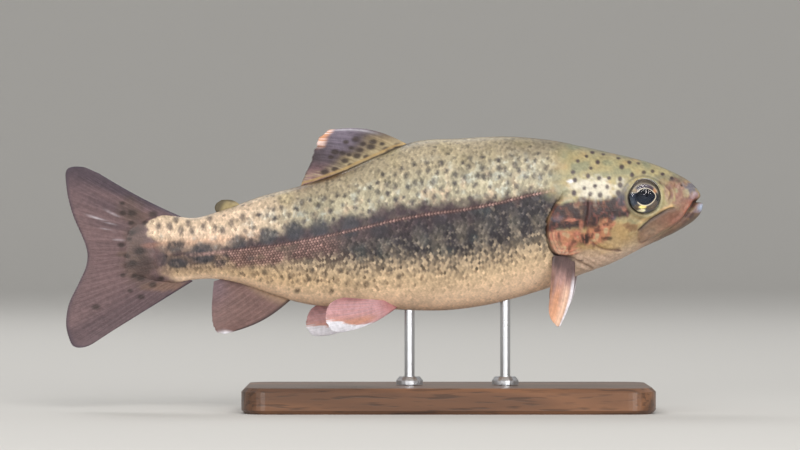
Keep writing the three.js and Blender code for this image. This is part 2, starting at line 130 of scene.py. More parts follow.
# Fins: root line, tips of the rays, and how far the leading ray bows.
FINS = {
    "dorsal": dict(
        base=[(10.6, 25.6), (-6, 19.4), (-21.5, 14.6)],
        margin=[(-15.6, 32.8), (-18.8, 30.6), (-20.4, 26.9), (-22, 22.6), (-24, 18.8),
                (-25.2, 15.9)],
        arch=2.7, rays=12, ragged=0.05,
    ),
    "adipose": dict(
        base=[(-43.6, 10.2), (-49, 8.2)],
        margin=[(-50.2, 13.2), (-51.8, 12.3), (-52.5, 11), (-52.2, 9.7), (-51, 8.9)],
        arch=1.1, rays=4, ragged=0.0,
    ),
    "anal": dict(
        base=[(-29.4, -18.6), (-38.5, -14.6), (-47, -10)],
        margin=[(-52.4, -28.9), (-54.9, -28), (-55.9, -24.6), (-55.6, -19), (-54.5, -12.2)],
        arch=-1.9, rays=11, ragged=0.02,
    ),
    "tail": dict(
        base=[(-62.4, 8.4), (-68, 4), (-69, -2), (-66, -8), (-61, -11.6)],
        margin=[(-88.4, 24.4), (-93.8, 26.9), (-98.2, 26.5), (-98.9, 21), (-97.4, 11.4),
                (-94.1, 2.2), (-93.9, -3), (-97.0, -9.5), (-100.9, -16.6), (-102.0, -23.4),
                (-100.4, -29.4), (-96.4, -30.0), (-88.4, -26.0)],
        arch=-0.6, rays=26, ragged=0.012,
    ),
    "pelvic": dict(
        base=[(1.6, -0.9), (-2.4, 1.6)],
        margin=[(-20.4, -7.6), (-24.8, -7), (-26.6, -4.4), (-26.0, -0.8), (-23.6, 2.0), (-19.4, 3.2)],
        arch=-1.3, rays=9, ragged=0.02,
    ),
    "pectoral": dict(
        base=[(4.2, 1.2), (0, 1.8), (-4.4, 1)],
        margin=[(-3.6, -21.6), (-5.4, -21.8), (-7, -19.6), (-7.4, -15.6), (-6.8, -11.4)],
        arch=-1.9, rays=12, ragged=0.015,
    ),
}
# Where each paired fin is hinged: root on the flank, then lean, swing and droop in degrees.
PAIRED = {
    "pelvic_right": dict(side=-1, root=(1, 4.6, -23.4), lean=4, swing=38, droop=1),
    "pelvic_left": dict(side=1, root=(-0.4, 4.6, -23.4), lean=4, swing=3, droop=2.5),
    "pectoral_right": dict(side=-1, root=(55.4, 9, -13.4), lean=17, swing=36, droop=0),
    "pectoral_left": dict(side=1, root=(56.8, 9, -13.4), lean=22, swing=36, droop=0),
}

# Coat of scales.
COAT_DEPTH = 0.3                 # the skin lies this far inside the outline where it is scaled
COAT_END = [                     # side view of the edge where the scales stop at the tail
    (-69, 9.9), (-73.3, 8.2), (-74.1, 6.2), (-73.7, 3.6), (-72.8, 1.4), (-72.5, -1.5),
    (-73.2, -5.3), (-71.8, -9.1), (-68, -11.5),
]
SCALE_PITCH = [(-77, 0.84), (-40, 0.9), (0, 1.0), (70, 1.0)]    # x, spacing along a row
ROW_PITCH = [(-77, 0.68), (-40, 0.74), (0, 0.82), (70, 0.82)]   # x, spacing of the rows
COAT_SEED = 11


# ---------------------------------------------------------------- small mathematics

def smoothstep(low, high, value):
    t = np.clip((value - low) / (high - low), 0, 1)
    return t * t * (3 - 2 * t)


def bell(distance, width):
    return np.exp(-((distance / width) ** 2))


def table(pairs, x):
    pairs = sorted(pairs)
    return np.interp(x, [p[0] for p in pairs], [p[1] for p in pairs])


def signed_power(value, power):
    return np.sign(value) * np.abs(value) ** power


def random_lattice(i, j, k, seed):
    h = (i * 374761393 + j * 668265263 + k * 2147483647 + seed * 144269) & 0xFFFFFFFF
    h = ((h ^ (h >> 13)) * 1274126177) & 0xFFFFFFFF
    return ((h ^ (h >> 16)) & 0xFFFF) / 32767.5 - 1


def noise(points, size, seed=0):
    """Smooth random values from -1 to 1 at points in mm, with lumps about `size` mm apart."""
    q = np.asarray(points, float) / size
    cell = np.floor(q).astype(np.int64)
    f = q - cell
    f = f * f * (3 - 2 * f)
    total = np.zeros(q.shape[:-1])
    for corner in range(8):
        dx, dy, dz = corner & 1, (corner >> 1) & 1, corner >> 2
        weight = (
            (f[..., 0] if dx else 1 - f[..., 0])
            * (f[..., 1] if dy else 1 - f[..., 1])
            * (f[..., 2] if dz else 1 - f[..., 2])
        )
        total += weight * random_lattice(
            cell[..., 0] + dx, cell[..., 1] + dy, cell[..., 2] + dz, seed
        )
    return total


def spline(points, closed=False):
    """Centripetal Catmull-Rom curve through points, run from 0 to 1."""
    knots = np.array(points, float)
    if closed:
        padded = np.vstack([knots[-1:], knots, knots[:2]])
    else:
        padded = np.vstack([2 * knots[0] - knots[1], knots, 2 * knots[-1] - knots[-2]])
    p0, p1, p2, p3 = padded[:-3], padded[1:-2], padded[2:-1], padded[3:]

    def gap(a, b):
        return np.sqrt(np.linalg.norm(b - a, axis=1))[:, None]

    d0, d1, d2 = gap(p0, p1), gap(p1, p2), gap(p2, p3)
    t1 = ((p1 - p0) / d0 - (p2 - p0) / (d0 + d1) + (p2 - p1) / d1) * d1
    t2 = ((p2 - p1) / d1 - (p3 - p1) / (d1 + d2) + (p3 - p2) / d2) * d1
    c2 = 3 * (p2 - p1) - 2 * t1 - t2
    c3 = 2 * (p1 - p2) + t1 + t2

    def at(u):
        along = np.asarray(u, float) * len(p1)
        i = np.clip(np.floor(along).astype(int), 0, len(p1) - 1)
        w = (along - i)[..., None]
        return p1[i] + w * (t1[i] + w * (c2[i] + w * c3[i]))

    return at


def line_distance(x, z, line, count=60, closed=False):
    """Distance of side-view points from a smooth line, and how far along it they lie."""
    knots = spline(line, closed)(np.linspace(0, 1, count + 1))
    best = np.full(np.shape(x), 1e9)
    along = np.zeros(np.shape(x))
    for i in range(count):
        (ax, az), (bx, bz) = knots[i], knots[i + 1]
        length = (bx - ax) ** 2 + (bz - az) ** 2
        t = np.clip(((x - ax) * (bx - ax) + (z - az) * (bz - az)) / length, 0, 1)
        d = np.hypot(x - ax - t * (bx - ax), z - az - t * (bz - az))
        nearer = d < best
        best = np.where(nearer, d, best)
        along = np.where(nearer, (i + t) / count, along)
    return best, along


def depth_inside(x, z, outline, count=72):
    """Distance inside a smooth closed outline in side view, negative outside."""
    knots = spline(outline, True)(np.linspace(0, 1, count + 1))
    inside = np.zeros(np.shape(x), bool)
    for (ax, az), (bx, bz) in zip(knots[:-1], knots[1:]):
        crosses = (az > z) != (bz > z)
        rise = bz - az if abs(bz - az) > 1e-9 else 1e-9
        inside ^= crosses & (x < ax + (z - az) * (bx - ax) / rise)
    distance, _ = line_distance(x, z, outline, count, True)
    return np.where(inside, distance, -distance)


# ---------------------------------------------------------------- surface of the body

def reach(x):
    return np.sqrt(np.maximum(JAW_TIP_X - np.asarray(x, float), 0))


def curve_through(knots):
    """Smooth curve through knots, run by the root of the distance from the jaw tip."""
    at = reach([x for x, _ in knots])
    value = np.array([v for _, v in knots], float)
    span = np.diff(at)
    rise = np.diff(value) / span
    slope = np.empty_like(value)
    slope[0], slope[-1] = rise[0], rise[-1]
    slope[1:-1] = (rise[:-1] * span[1:] + rise[1:] * span[:-1]) / (span[:-1] + span[1:])

    def curve(x):
        q = reach(x)
        i = np.clip(np.searchsorted(at, q, side="left") - 1, 0, len(span) - 1)
        t = np.clip((q - at[i]) / span[i], 0, 1)
        t2, t3 = t * t, t * t * t
        return (
            value[i] * (2 * t3 - 3 * t2 + 1) + slope[i] * span[i] * (t3 - 2 * t2 + t)
            + value[i + 1] * (3 * t2 - 2 * t3) + slope[i + 1] * span[i] * (t3 - t2)
        )

    return curve


back = curve_through(BACK_LINE)
belly = curve_through(BELLY_LINE)
half_width = curve_through(HALF_WIDTHS)
crown_fullness = curve_through(CROWN_FULLNESS)
keel_fullness = curve_through(KEEL_FULLNESS)
lateral_level = curve_through(LATERAL_LINE)


def skin_point(x, angle):
    """Point of the bare outline at x. The angle is 0 on the back, a quarter on the right flank."""
    x, angle = np.broadcast_arrays(np.asarray(x, float), np.asarray(angle, float))
    top, bottom = back(x), belly(x)
    level = bottom + (top - bottom) * WIDEST_LEVEL
    up = np.cos(angle) >= 0
    power = 2 / np.where(up, crown_fullness(x), keel_fullness(x))
    rise = np.where(up, top - level, level - bottom)
    y = -half_width(x) * signed_power(np.sin(angle), power)
    return np.stack([x, y, level + rise * signed_power(np.cos(angle), power)], -1)


def place(points):
    """Fish points in mm, straight and level, as metres on the stand."""
    x, y, z = points[..., 0], points[..., 1], points[..., 2]
    sway = SWAY * (np.maximum(-x, 0) / SWAY_LENGTH) ** 2
    c, s = math.cos(PITCH), math.sin(PITCH)
    return np.stack([x * c - z * s, y + sway, AXIS_HEIGHT + x * s + z * c], -1) / 1000


# Girth over one flank, as a table by x and angle, and the angle again by x and girth.
TABLE_X = np.linspace(SKIN_END_X, JAW_TIP_X - 0.4, 370)
TABLE_ANGLE = np.linspace(0, math.pi, 181)
TABLE_GIRTH = np.linspace(-45, 45, 361)
_sections = skin_point(TABLE_X[:, None], TABLE_ANGLE[None, :])
_steps = np.linalg.norm(np.diff(_sections, axis=1), axis=2)
_arc = np.concatenate([np.zeros((len(TABLE_X), 1)), np.cumsum(_steps, axis=1)], axis=1)
_lateral_arc = np.array([
    np.interp(-lateral_level(x), -row[:, 2], arc)
    for x, row, arc in zip(TABLE_X, _sections, _arc)
])
GIRTH_BY_ANGLE = _lateral_arc[:, None] - _arc
ANGLE_BY_GIRTH = np.array([
    np.interp(TABLE_GIRTH, row[::-1], TABLE_ANGLE[::-1]) for row in GIRTH_BY_ANGLE
])


def look_up(grid, x, column):
    """Value of a table at x and a column number, between its entries."""
    i = np.clip((x - TABLE_X[0]) / (TABLE_X[1] - TABLE_X[0]), 0, len(TABLE_X) - 1.001)
    j = np.clip(column, 0, grid.shape[1] - 1.001)
    i0, j0 = np.floor(i).astype(int), np.floor(j).astype(int)
    fi, fj = i - i0, j - j0
    near = grid[i0, j0] * (1 - fj) + grid[i0, j0 + 1] * fj
    far = grid[i0 + 1, j0] * (1 - fj) + grid[i0 + 1, j0 + 1] * fj
    return near * (1 - fi) + far * fi


def girth_at(x, angle):
    folded = np.where(angle > math.pi, 2 * math.pi - angle, angle)
    return look_up(GIRTH_BY_ANGLE, x, folded / (TABLE_ANGLE[1] - TABLE_ANGLE[0]))


def angle_at(x, girth):
    step = TABLE_GIRTH[1] - TABLE_GIRTH[0]
    return look_up(ANGLE_BY_GIRTH, x, (girth - TABLE_GIRTH[0]) / step)


def crest_girth(x):
    return look_up(GIRTH_BY_ANGLE, x, np.zeros(np.shape(x)))


def keel_girth(x):
    return look_up(GIRTH_BY_ANGLE, x, np.full(np.shape(x), len(TABLE_ANGLE) - 1.0))


def girth_of_level(x, z):
    """Girth of the place on the flank at a height z of the body."""
    angles = np.linspace(0, math.pi, 400)
    level = skin_point(np.full(400, float(x)), angles)[:, 2]
    return float(girth_at(np.array([float(x)]), np.array([np.interp(-z, -level, angles)]))[0])


def nape_x(z):
    """Where the head ends and the scales begin, at a height z."""
    return table([(z_, x_) for x_, z_ in NAPE_LINE], z)


def coat_depth(x, z):
    """How far the skin lies under the outline to leave room for scales, which fade in."""
    width = 1.2 + 9 * smoothstep(3, 9, z)
    nape = smoothstep(0, 1, (nape_x(z) - x) / width)
    tail = smoothstep(-1.5, 4.5, x - coat_end_x(z))
    return COAT_DEPTH * (0.12 + 0.88 * nape) * (0.05 + 0.95 * tail) * (nape_x(z) > x)


def coat_end_x(z):
    return table([(z_, x_) for x_, z_ in COAT_END], z)


# ---------------------------------------------------------------- paints

def paint(red, green, blue):
    """A colour as a screen shows it, from 0 to 255, turned into linear light."""
    c = np.array([red, green, blue]) / 255
    return np.where(c <= 0.04045, c / 12.92, ((c + 0.055) / 1.055) ** 2.4)


OLIVE_BACK = paint(163, 150, 125)
OLIVE_CREST = paint(146, 134, 108)
PALE_FLANK = paint(173, 164, 139)
GLINT_BLUE = paint(192, 200, 194)
GLINT_ROSE = paint(214, 182, 154)
CREAM_STALK = paint(220, 194, 168)
PEACH_STALK = paint(200, 154, 124)
TAN_BELLY = paint(207, 180, 145)
PALE_KEEL = paint(238, 208, 179)
TAN_REAR = paint(204, 174, 137)
SPOT_BLUE = paint(54, 50, 58)
SPOT_BROWN = paint(60, 46, 42)
BAND_CHARCOAL = paint(56, 51, 55)
BAND_GREEN = paint(58, 68, 70)
BAND_SPECKLE = paint(130, 120, 106)
BAND_PURPLE = paint(60, 44, 50)
BAND_RUSSET = paint(76, 54, 52)
BEAD = paint(218, 176, 164)
LINE_RED = paint(66, 36, 36)
PARR_SLATE = paint(50, 52, 60)
ROOT_BROWN = paint(104, 72, 38)
HEAD_OLIVE = paint(156, 144, 106)
HEAD_CREST = paint(122, 114, 94)
HEAD_SPOT = paint(60, 47, 51)
HAZE_BROWN = paint(112, 84, 72)
TAIL_BROWN = paint(82, 66, 55)
HEAD_CREAM = paint(208, 200, 182)
COVER_PURPLE = paint(51, 32, 31)
COVER_DARK = paint(46, 31, 31)
COVER_SLATE = paint(76, 72, 84)
COVER_ORANGE = paint(170, 114, 84)
COVER_SALMON = paint(184, 118, 96)
COVER_RED = paint(140, 82, 70)
CHEEK_GOLD = paint(164, 136, 94)
CHEEK_BROWN = paint(124, 94, 68)
SHOULDER_GREEN = paint(138, 142, 116)
THROAT = paint(188, 162, 141)
CHIN_ROSE = paint(194, 164, 142)
JAW_BROWN = paint(98, 73, 59)
JAW_SHADE = paint(72, 62, 62)
JAW_GREY = paint(94, 71, 62)
LIP_RED = paint(136, 78, 62)
LIP_HIGHLIGHT = paint(174, 190, 214)
SNOUT_GREY = paint(100, 102, 114)
LILAC_SHEEN = paint(176, 166, 184)
SNOUT_CREAM = paint(172, 158, 122)
FLAP_PINK = paint(152, 120, 106)
FOLD_PINK = paint(134, 96, 84)
RIDGE_PEACH = paint(196, 160, 112)
CREASE_SHADE = paint(58, 44, 42)
FOLD_SHADE_RED = paint(88, 54, 52)
ORBIT_SHADE = paint(58, 56, 48)
ORBIT_OLIVE = paint(152, 144, 108)

DORSAL_GREY = paint(73, 62, 65)
DORSAL_MAUVE = paint(110, 100, 116)
DORSAL_PINK = paint(128, 92, 98)
DORSAL_OLIVE = paint(136, 119, 90)
DORSAL_STRIP = paint(168, 140, 90)
DORSAL_SHADOW = paint(50, 40, 32)
TIP_ORANGE = paint(206, 146, 106)
TAIL_MAUVE = paint(68, 55, 63)
TAIL_PINK = paint(106, 84, 85)
TAIL_EDGE = paint(58, 48, 62)
ANAL_PINK = paint(114, 88, 84)
PELVIC_PINK = paint(188, 148, 152)
PELVIC_ROSE = paint(192, 128, 120)
PELVIC_RED = paint(150, 92, 88)
FIN_WHITE = paint(238, 236, 244)
PECTORAL_ORANGE = paint(190, 140, 112)
PECTORAL_PINK = paint(178, 142, 136)
PEACH_EDGE = paint(242, 204, 178)
ADIPOSE_YELLOW = paint(156, 140, 100)
ADIPOSE_RIM = paint(62, 56, 48)
FIN_DARK = paint(58, 48, 50)


def blend(base, colour, mask):
    return base + (colour - base) * np.clip(mask, 0, 1)[..., None]


def oval(x, z, centre, radii, soft=0.35, ragged=0.0):
    """1 inside an oval of the side view, fading over `soft` of its size; ragged shifts its rim."""
    d = np.hypot((x - centre[0]) / radii[0], (z - centre[1]) / radii[1]) + ragged
    return 1 - smoothstep(1 - soft, 1 + soft, d)


def spot_mask(x, girth, spots):
    """How dark each place is under a list of spots: x, girth, half length, half height, tone."""
    order = np.argsort(x)
    sorted_x, sorted_girth = x[order], girth[order]
    mask = np.zeros(len(x))
    for cx, cg, rx, rg, tone in spots:
        low, high = np.searchsorted(sorted_x, [cx - 1.5 * rx, cx + 1.5 * rx])
        d = np.hypot((sorted_x[low:high] - cx) / rx, (sorted_girth[low:high] - cg) / rg)
        mask[low:high] = np.maximum(mask[low:high], tone * (1 - smoothstep(0.55, 1.35, d)))
    result = np.empty(len(x))
    result[order] = mask
    return result


HEAD_SPOTS = [
    (66.7, 19.9), (70.1, 19.1), (64.7, 18.8), (74.7, 17.5), (61.8, 17.5), (68.0, 16.7),
    (78.0, 16.0), (80.8, 15.5), (65.7, 15.0), (75.4, 14.7), (82.2, 12.6), (85.0, 12.7),
    (88.1, 11.6), (90.9, 10.2), (78.4, 12.0), (60.0, 14.1), (64.6, 12.6), (68.0, 11.7),
    (71.1, 11.5), (74.5, 11.0), (60.4, 11.6), (63.1, 8.9), (66.5, 9.3), (70.3, 8.8),
    (74.4, 9.1), (59.8, 7.6), (64.8, 6.9), (67.9, 6.4), (73.6, 6.7),
]
FLANK_SPOTS = [
    (1.9, 14.1), (4.4, 13.4), (8.0, 16.5), (10.7, 14.2), (12.9, 14.0), (15.0, 17.6),
    (16.3, 14.1), (18.6, 11.7), (20.3, 9.7), (23.3, 15.8), (26.0, 14.6), (27.8, 17.9),
    (30.4, 15.0), (32.2, 14.5), (34.1, 15.0), (32.0, 17.1), (37.1, 17.0), (38.9, 16.2),
    (42.1, 17.6), (43.2, 15.9), (46.4, 16.6), (47.8, 13.7), (49.9, 13.3), (51.7, 16.0),
    (53.1, 14.3), (55.1, 15.1),
]
STALK_SPOTS = [
    (-70.5, 6.3), (-66.9, 6.0), (-63.5, 4.6), (-60.0, 4.3), (-56.3, 5.1), (-52.7, 4.4),
    (-47.4, 5.7), (-50.3, 3.6), (-61.1, 6.5), (-54.3, 7.4), (-43.9, 7.2), (-64.8, 7.9),
]
LOWER_SPOTS = [
    (-42.2, -8.1), (-35.3, -8.2), (-30.2, -12.0), (-24.4, -13.4), (-21.9, -13.8),
    (-19.3, -12.2), (-28.3, -16.5), (-23.2, -10.9), (-16.5, -8.6), (-14.2, -11.3),
    (-11.7, -11.7), (-1.1, -7.8), (1.3, -12.9), (3.7, -14.4), (-17.5, -17.6), (-6.7, -16.1),
]
PARR_MARKS = [                   # x, z, half length, half height, strength
    (50.5, -0.7, 2.4, 3.4, 0.3), (42.8, 1.1, 2.4, 3.4, 0.3), (33.3, 0.5, 2.4, 3.4, 0.35),
    (17.6, 0.7, 2.4, 3.4, 0.4), (11.2, -1.1, 2.4, 3.4, 0.35), (-1.3, 1.2, 2.6, 3.6, 0.5),
    (-10.5, 2.3, 2.8, 3.4, 0.8), (-20, 2.1, 2.9, 3.4, 0.85), (-27.8, 1.9, 3.0, 3.2, 0.9),
    (-36.4, 0.8, 3.0, 2.6, 0.9), (-45.6, -0.4, 3.0, 2.0, 0.85), (-57.0, -1.6, 3.5, 2.0, 0.85),
    (-56.9, -4.8, 3.4, 1.7, 0.9), (-65.5, -0.2, 3.2, 1.8, 0.85), (-65.0, -5.6, 3.4, 1.5, 0.85),
    (-51.6, -6.6, 2.0, 1.3, 0.8), (-70.8, -4.2, 2.2, 2.3, 0.85), (-48.5, -3.8, 2.8, 1.5, 0.8),
    (-42.4, -5.8, 1.8, 1.3, 0.75), (-61.0, -3.2, 2.0, 1.0, 0.6),
]


def scatter(rng, chosen, count, x_range, share_range, crest, size, tone, clear):
    """Adds spots at random, each clear of the ones before it, to a list of spots."""
    for _ in range(count):
        x = rng.uniform(*x_range)
        edge = crest_girth(x) if crest else keel_girth(x)
        girth = float(edge) * rng.uniform(*share_range)
        if all(math.hypot(x - s[0], girth - s[1]) > clear for s in chosen):
            big = rng.uniform(*size)
            chosen.append((x, girth, big, big * rng.uniform(1.0, 1.45), rng.uniform(*tone)))


def flank_spots(seed):
    """All the spots of one flank, from the big ones on the side to the specks of the back."""
    rng = np.random.default_rng(seed)
    spots = []
    for x, z in FLANK_SPOTS:
        spots.append((x, girth_of_level(x, z), rng.uniform(0.7, 0.95), 1.15, 0.8))
    for x, z in STALK_SPOTS:
        spots.append((x, girth_of_level(x, z), rng.uniform(0.85, 1.1), 1.4, 0.75))
    scatter(rng, spots, 900, (-45, 60), (0.08, 0.58), True, (0.58, 0.86), (0.65, 1.0), 2.5)
    scatter(rng, spots, 1400, (-50, 60), (0.5, 0.98), True, (0.32, 0.52), (0.3, 0.7), 1.7)
    return spots


def lower_spots(seed):
    rng = np.random.default_rng(seed)
    spots = []
    for x, z in LOWER_SPOTS:
        spots.append((x, girth_of_level(x, z), rng.uniform(0.7, 1.0), 1.0, 0.85))
    scatter(rng, spots, 260, (-50, 6), (0.3, 0.62), False, (0.45, 0.8), (0.45, 0.85), 2.6)
    scatter(rng, spots, 200, (-10, 48), (0.46, 0.6), False, (0.28, 0.42), (0.15, 0.4), 2.0)
    scatter(rng, spots, 50, (-40, 10), (0.6, 0.75), False, (0.3, 0.42), (0.1, 0.3), 3.4)
    return spots


def head_spots(seed):
    rng = np.random.default_rng(seed)
    spots = []
    for x, z in HEAD_SPOTS:
        big = rng.uniform(0.58, 0.86)
        tall = big * rng.uniform(0.95, 1.3)
        spots.append((x, girth_of_level(x, z), big, tall, rng.uniform(0.85, 1.0)))
    return spots


SPOTS = {
    side: dict(
        upper=flank_spots(seed),
        lower=lower_spots(seed + 1),
        head=head_spots(seed + 2),
    )
    for side, seed in ((-1, 5), (1, 25))
}
LOW_BAND = [(-77, 3.0), (-60, 3.2), (-45, 3.6), (-27, 6.0), (-10, 9.6), (5, 12.4), (21, 14.4),
            (43, 14.4), (60, 14.0)]
LOW_BAND_EDGE = [(-77, 1.6), (-45, 2.6), (-20, 4.6), (0, 6.6), (25, 8.2), (45, 8.2), (60, 6.0)]
LOW_BAND_TONE = [(-77, 0.55), (-45, 0.55), (-27, 0.82), (-10, 0.96), (5, 1), (60, 1)]
HIGH_BAND = [(-77, 1.0), (-50, 2.0), (-38, 2.6), (-30, 3.8), (-10, 4.2), (5, 4.0), (18, 3.0),
             (32, 1.4), (46, 0.2), (60, 0)]


def spots_of(kind, x, girth, side):
    """How dark each place is under the spots of its own flank."""
    mask = np.zeros(len(x))
    for flank in (-1, 1):
        here = side == flank
        mask[here] = spot_mask(x[here], girth[here], SPOTS[flank][kind])
    return mask


def lay_patches(colour, x, z, patches, soft, rough, plain_below=0.0):
    """Blends soft ovals over a colour; rough shifts the rims of those above a size."""
    for cx, cz, wide, tall, tint, strength in patches:
        near = (np.abs(x - cx) < 2.2 * wide) & (np.abs(z - cz) < 2.2 * tall)
        shift = rough[near] if min(wide, tall) > plain_below else 0.0
        patch = oval(x[near], z[near], (cx, cz), (wide, tall), soft, shift)
        colour[near] = blend(colour[near], tint, patch * strength)
    return colour


def ground_colour(points, girth, up, down, again, lumps):
    """The body without its marks: olive back, pale flank, cream stalk and tan belly."""
    x = points[:, 0]
    upper = blend(PALE_FLANK, OLIVE_BACK, smoothstep(0.36, 0.66, up + 0.08 * lumps))
    upper = blend(upper, OLIVE_CREST, smoothstep(0.86, 1.0, up) * 0.7)
    rear = smoothstep(-22, -48, x)
    upper = blend(upper, CREAM_STALK, rear * (1 - 0.5 * smoothstep(0.6, 1, up)))
    peach = bell(girth - 3.6 - 0.8 * lumps, 1.4) * smoothstep(-30, -44, x)
    upper = blend(upper, PEACH_STALK, peach * 0.6)
    blue = smoothstep(0.1, 0.6, noise(points, 1.7, 14)) * smoothstep(0.75, 0.35, up)
    rose = smoothstep(0.15, 0.6, noise(points, 1.6, 15)) * smoothstep(0.6, 0.2, up)
    upper = blend(upper, GLINT_BLUE, blue * (0.12 + 0.4 * again))
    upper = blend(upper, GLINT_ROSE, rose * (0.5 - 0.35 * again))
    gold = smoothstep(0.0, 0.7, noise(points, 5.0, 21)) * smoothstep(0.35, 0.7, up)
    upper = blend(upper, SNOUT_CREAM, gold * 0.5)

    lower = blend(TAN_BELLY, TAN_REAR, smoothstep(-10, -40, x))
    lower = blend(lower, PALE_KEEL, smoothstep(0.5, 0.9, down))
    colour = np.where((girth > 0)[:, None], upper, lower)
    colour = blend(colour, colour * 1.14, smoothstep(0.1, 0.9, lumps))
    colour = blend(colour, colour * 0.76, smoothstep(0.1, 0.9, -noise(points, 9.0, 3)) * 0.6)

    haze = smoothstep(-46, -60, x) * bell(girth + 1.2 + 0.6 * lumps, 4.2)
    colour = blend(colour, HAZE_BROWN, haze * 0.85)
    # Browner along the back under the rear of the dorsal fin.
    brown_under_fin = bell(crest_girth(x) - girth - 2.4, 2.4) * smoothstep(-4, -14, x)
    brown_under_fin = brown_under_fin * smoothstep(-30, -24, x)
    return blend(colour, ROOT_BROWN, brown_under_fin * (0.85 + 0.3 * lumps))


def add_band(colour, points, girth, tone, again, rim, lumps, fine):
    """The dark band along the lateral line, which breaks up scale by scale at its lower edge."""
    x = points[:, 0]
    high = table(HIGH_BAND, x) + 1.6 * lumps + 0.7 * fine
    above = (girth > 0) * smoothstep(2.3, -1.8, girth - high) * (0.98 - 0.1 * fine)
    low, spread, strength = (table(t, x) for t in (LOW_BAND, LOW_BAND_EDGE, LOW_BAND_TONE))
    density = smoothstep(low + spread, low - spread, -girth - 0.7 * lumps)
    luck = 0.06 + 0.84 * tone + 0.12 * fine + 0.16 * lumps
    below = (girth <= 0) * smoothstep(-0.42, 0.22, density - luck) * strength
    below = below * (0.62 + 0.38 * smoothstep(0.3, 0.8, density)) * smoothstep(0, 0.15, density)
    dusk = (girth <= 0) * smoothstep(low + spread + 3, low - 0.6 * spread, -girth)
    colour = blend(colour, BAND_SPECKLE, dusk * 0.8 * strength)
    colour = blend(colour, BAND_PURPLE, above)

    dark = blend(BAND_CHARCOAL, BAND_RUSSET, smoothstep(2, -24, x) * 0.9)
    dark = blend(dark, BAND_GREEN, smoothstep(0.1, 0.7, noise(points, 4.0, 16)) * 0.6)
    dark = blend(dark, BAND_RUSSET, smoothstep(0.3, 0.8, noise(points, 3.0, 17)) * 0.5)
    wine = smoothstep(34, 14, x) * smoothstep(-7.5, -2.5, girth + 1.2 * lumps)
    dark = blend(dark, BAND_PURPLE, wine * 0.8)
    worn = smoothstep(-0.1, 0.5, noise(points, 3.4, 34)) * smoothstep(-1.5, -7, girth)
    worn = worn * smoothstep(-12, 12, x)
    dark = blend(dark, BAND_SPECKLE, worn * 0.4)
    dark = dark * (0.66 + 0.64 * again)[:, None]
    # Pale specks on the middles of a few scales are painted glints.
    speckle = smoothstep(0.45, 0.85, again + 0.2 * fine) * smoothstep(0.95, 0.3, rim)
    dark = blend(dark, BAND_SPECKLE, speckle * (0.14 + 0.6 * smoothstep(-1, -8, girth)))
    return blend(colour, dark, below)


def add_parr_marks(colour, points, tone, lumps, fine):
    """The ragged upright bars of a young fish."""
    x, z = points[:, 0], points[:, 2]
    parr = np.zeros(len(x))
    ragged = 0.2 * lumps + 0.14 * fine
    for cx, cz, wide, tall, strength in PARR_MARKS:
        near = np.abs(x - cx) < 2 * wide
        mark = oval(x[near], z[near], (cx, cz), (wide, tall), 0.34, ragged[near]) * strength
        parr[near] = np.maximum(parr[near], mark)
    return blend(colour, PARR_SLATE, parr * (1.0 - 0.2 * tone))


def add_beads(colour, points, girth, tone, bead, lumps):
    """Rosy beads: the pored scales of the lateral line, and the rows below it near the tail."""
    x = points[:, 0]
    rows = smoothstep(-10, -22, x) * smoothstep(-56, -48, x)
    rows = rows * smoothstep(-6.6, -4.4, girth + 0.8 * lumps) * smoothstep(0.9, 0.1, girth)
    rows = rows * (1 - 0.7 * smoothstep(0.15, 0.5, noise(points, 2.8, 33)))
    line = smoothstep(0.72, 0.5, np.abs(girth)) * smoothstep(-66, -52, x)
    rosy = smoothstep(48, 56, x) + smoothstep(-46, -54, x) * smoothstep(-74, -66, x)
    colour = blend(colour, LINE_RED, np.maximum(rows * 0.85, line * 0.9) * (1 - 0.6 * rosy))
    gleam = np.maximum(rows * (0.55 + 0.35 * tone), line * (0.5 + 0.5 * tone))
    return blend(colour, BEAD, np.maximum(bead * gleam, line * rosy * 0.35))


def add_dorsal_root(colour, x, gap, bead):
    """Painted shadow under the dorsal fin's root, and a row of painted highlights on the scale edges
    below it.
    """
    under_fin = smoothstep(-24, -20, x) * smoothstep(11.5, 9, x)
    colour = blend(colour, DORSAL_SHADOW, bell(gap - 1.6, 1.3) * under_fin * 0.75)
    glint = bell(gap - 3.1, 0.5) * smoothstep(-14, -11, x) * smoothstep(0, -4, x)
    return blend(colour, FIN_WHITE, glint * bead * 0.8)


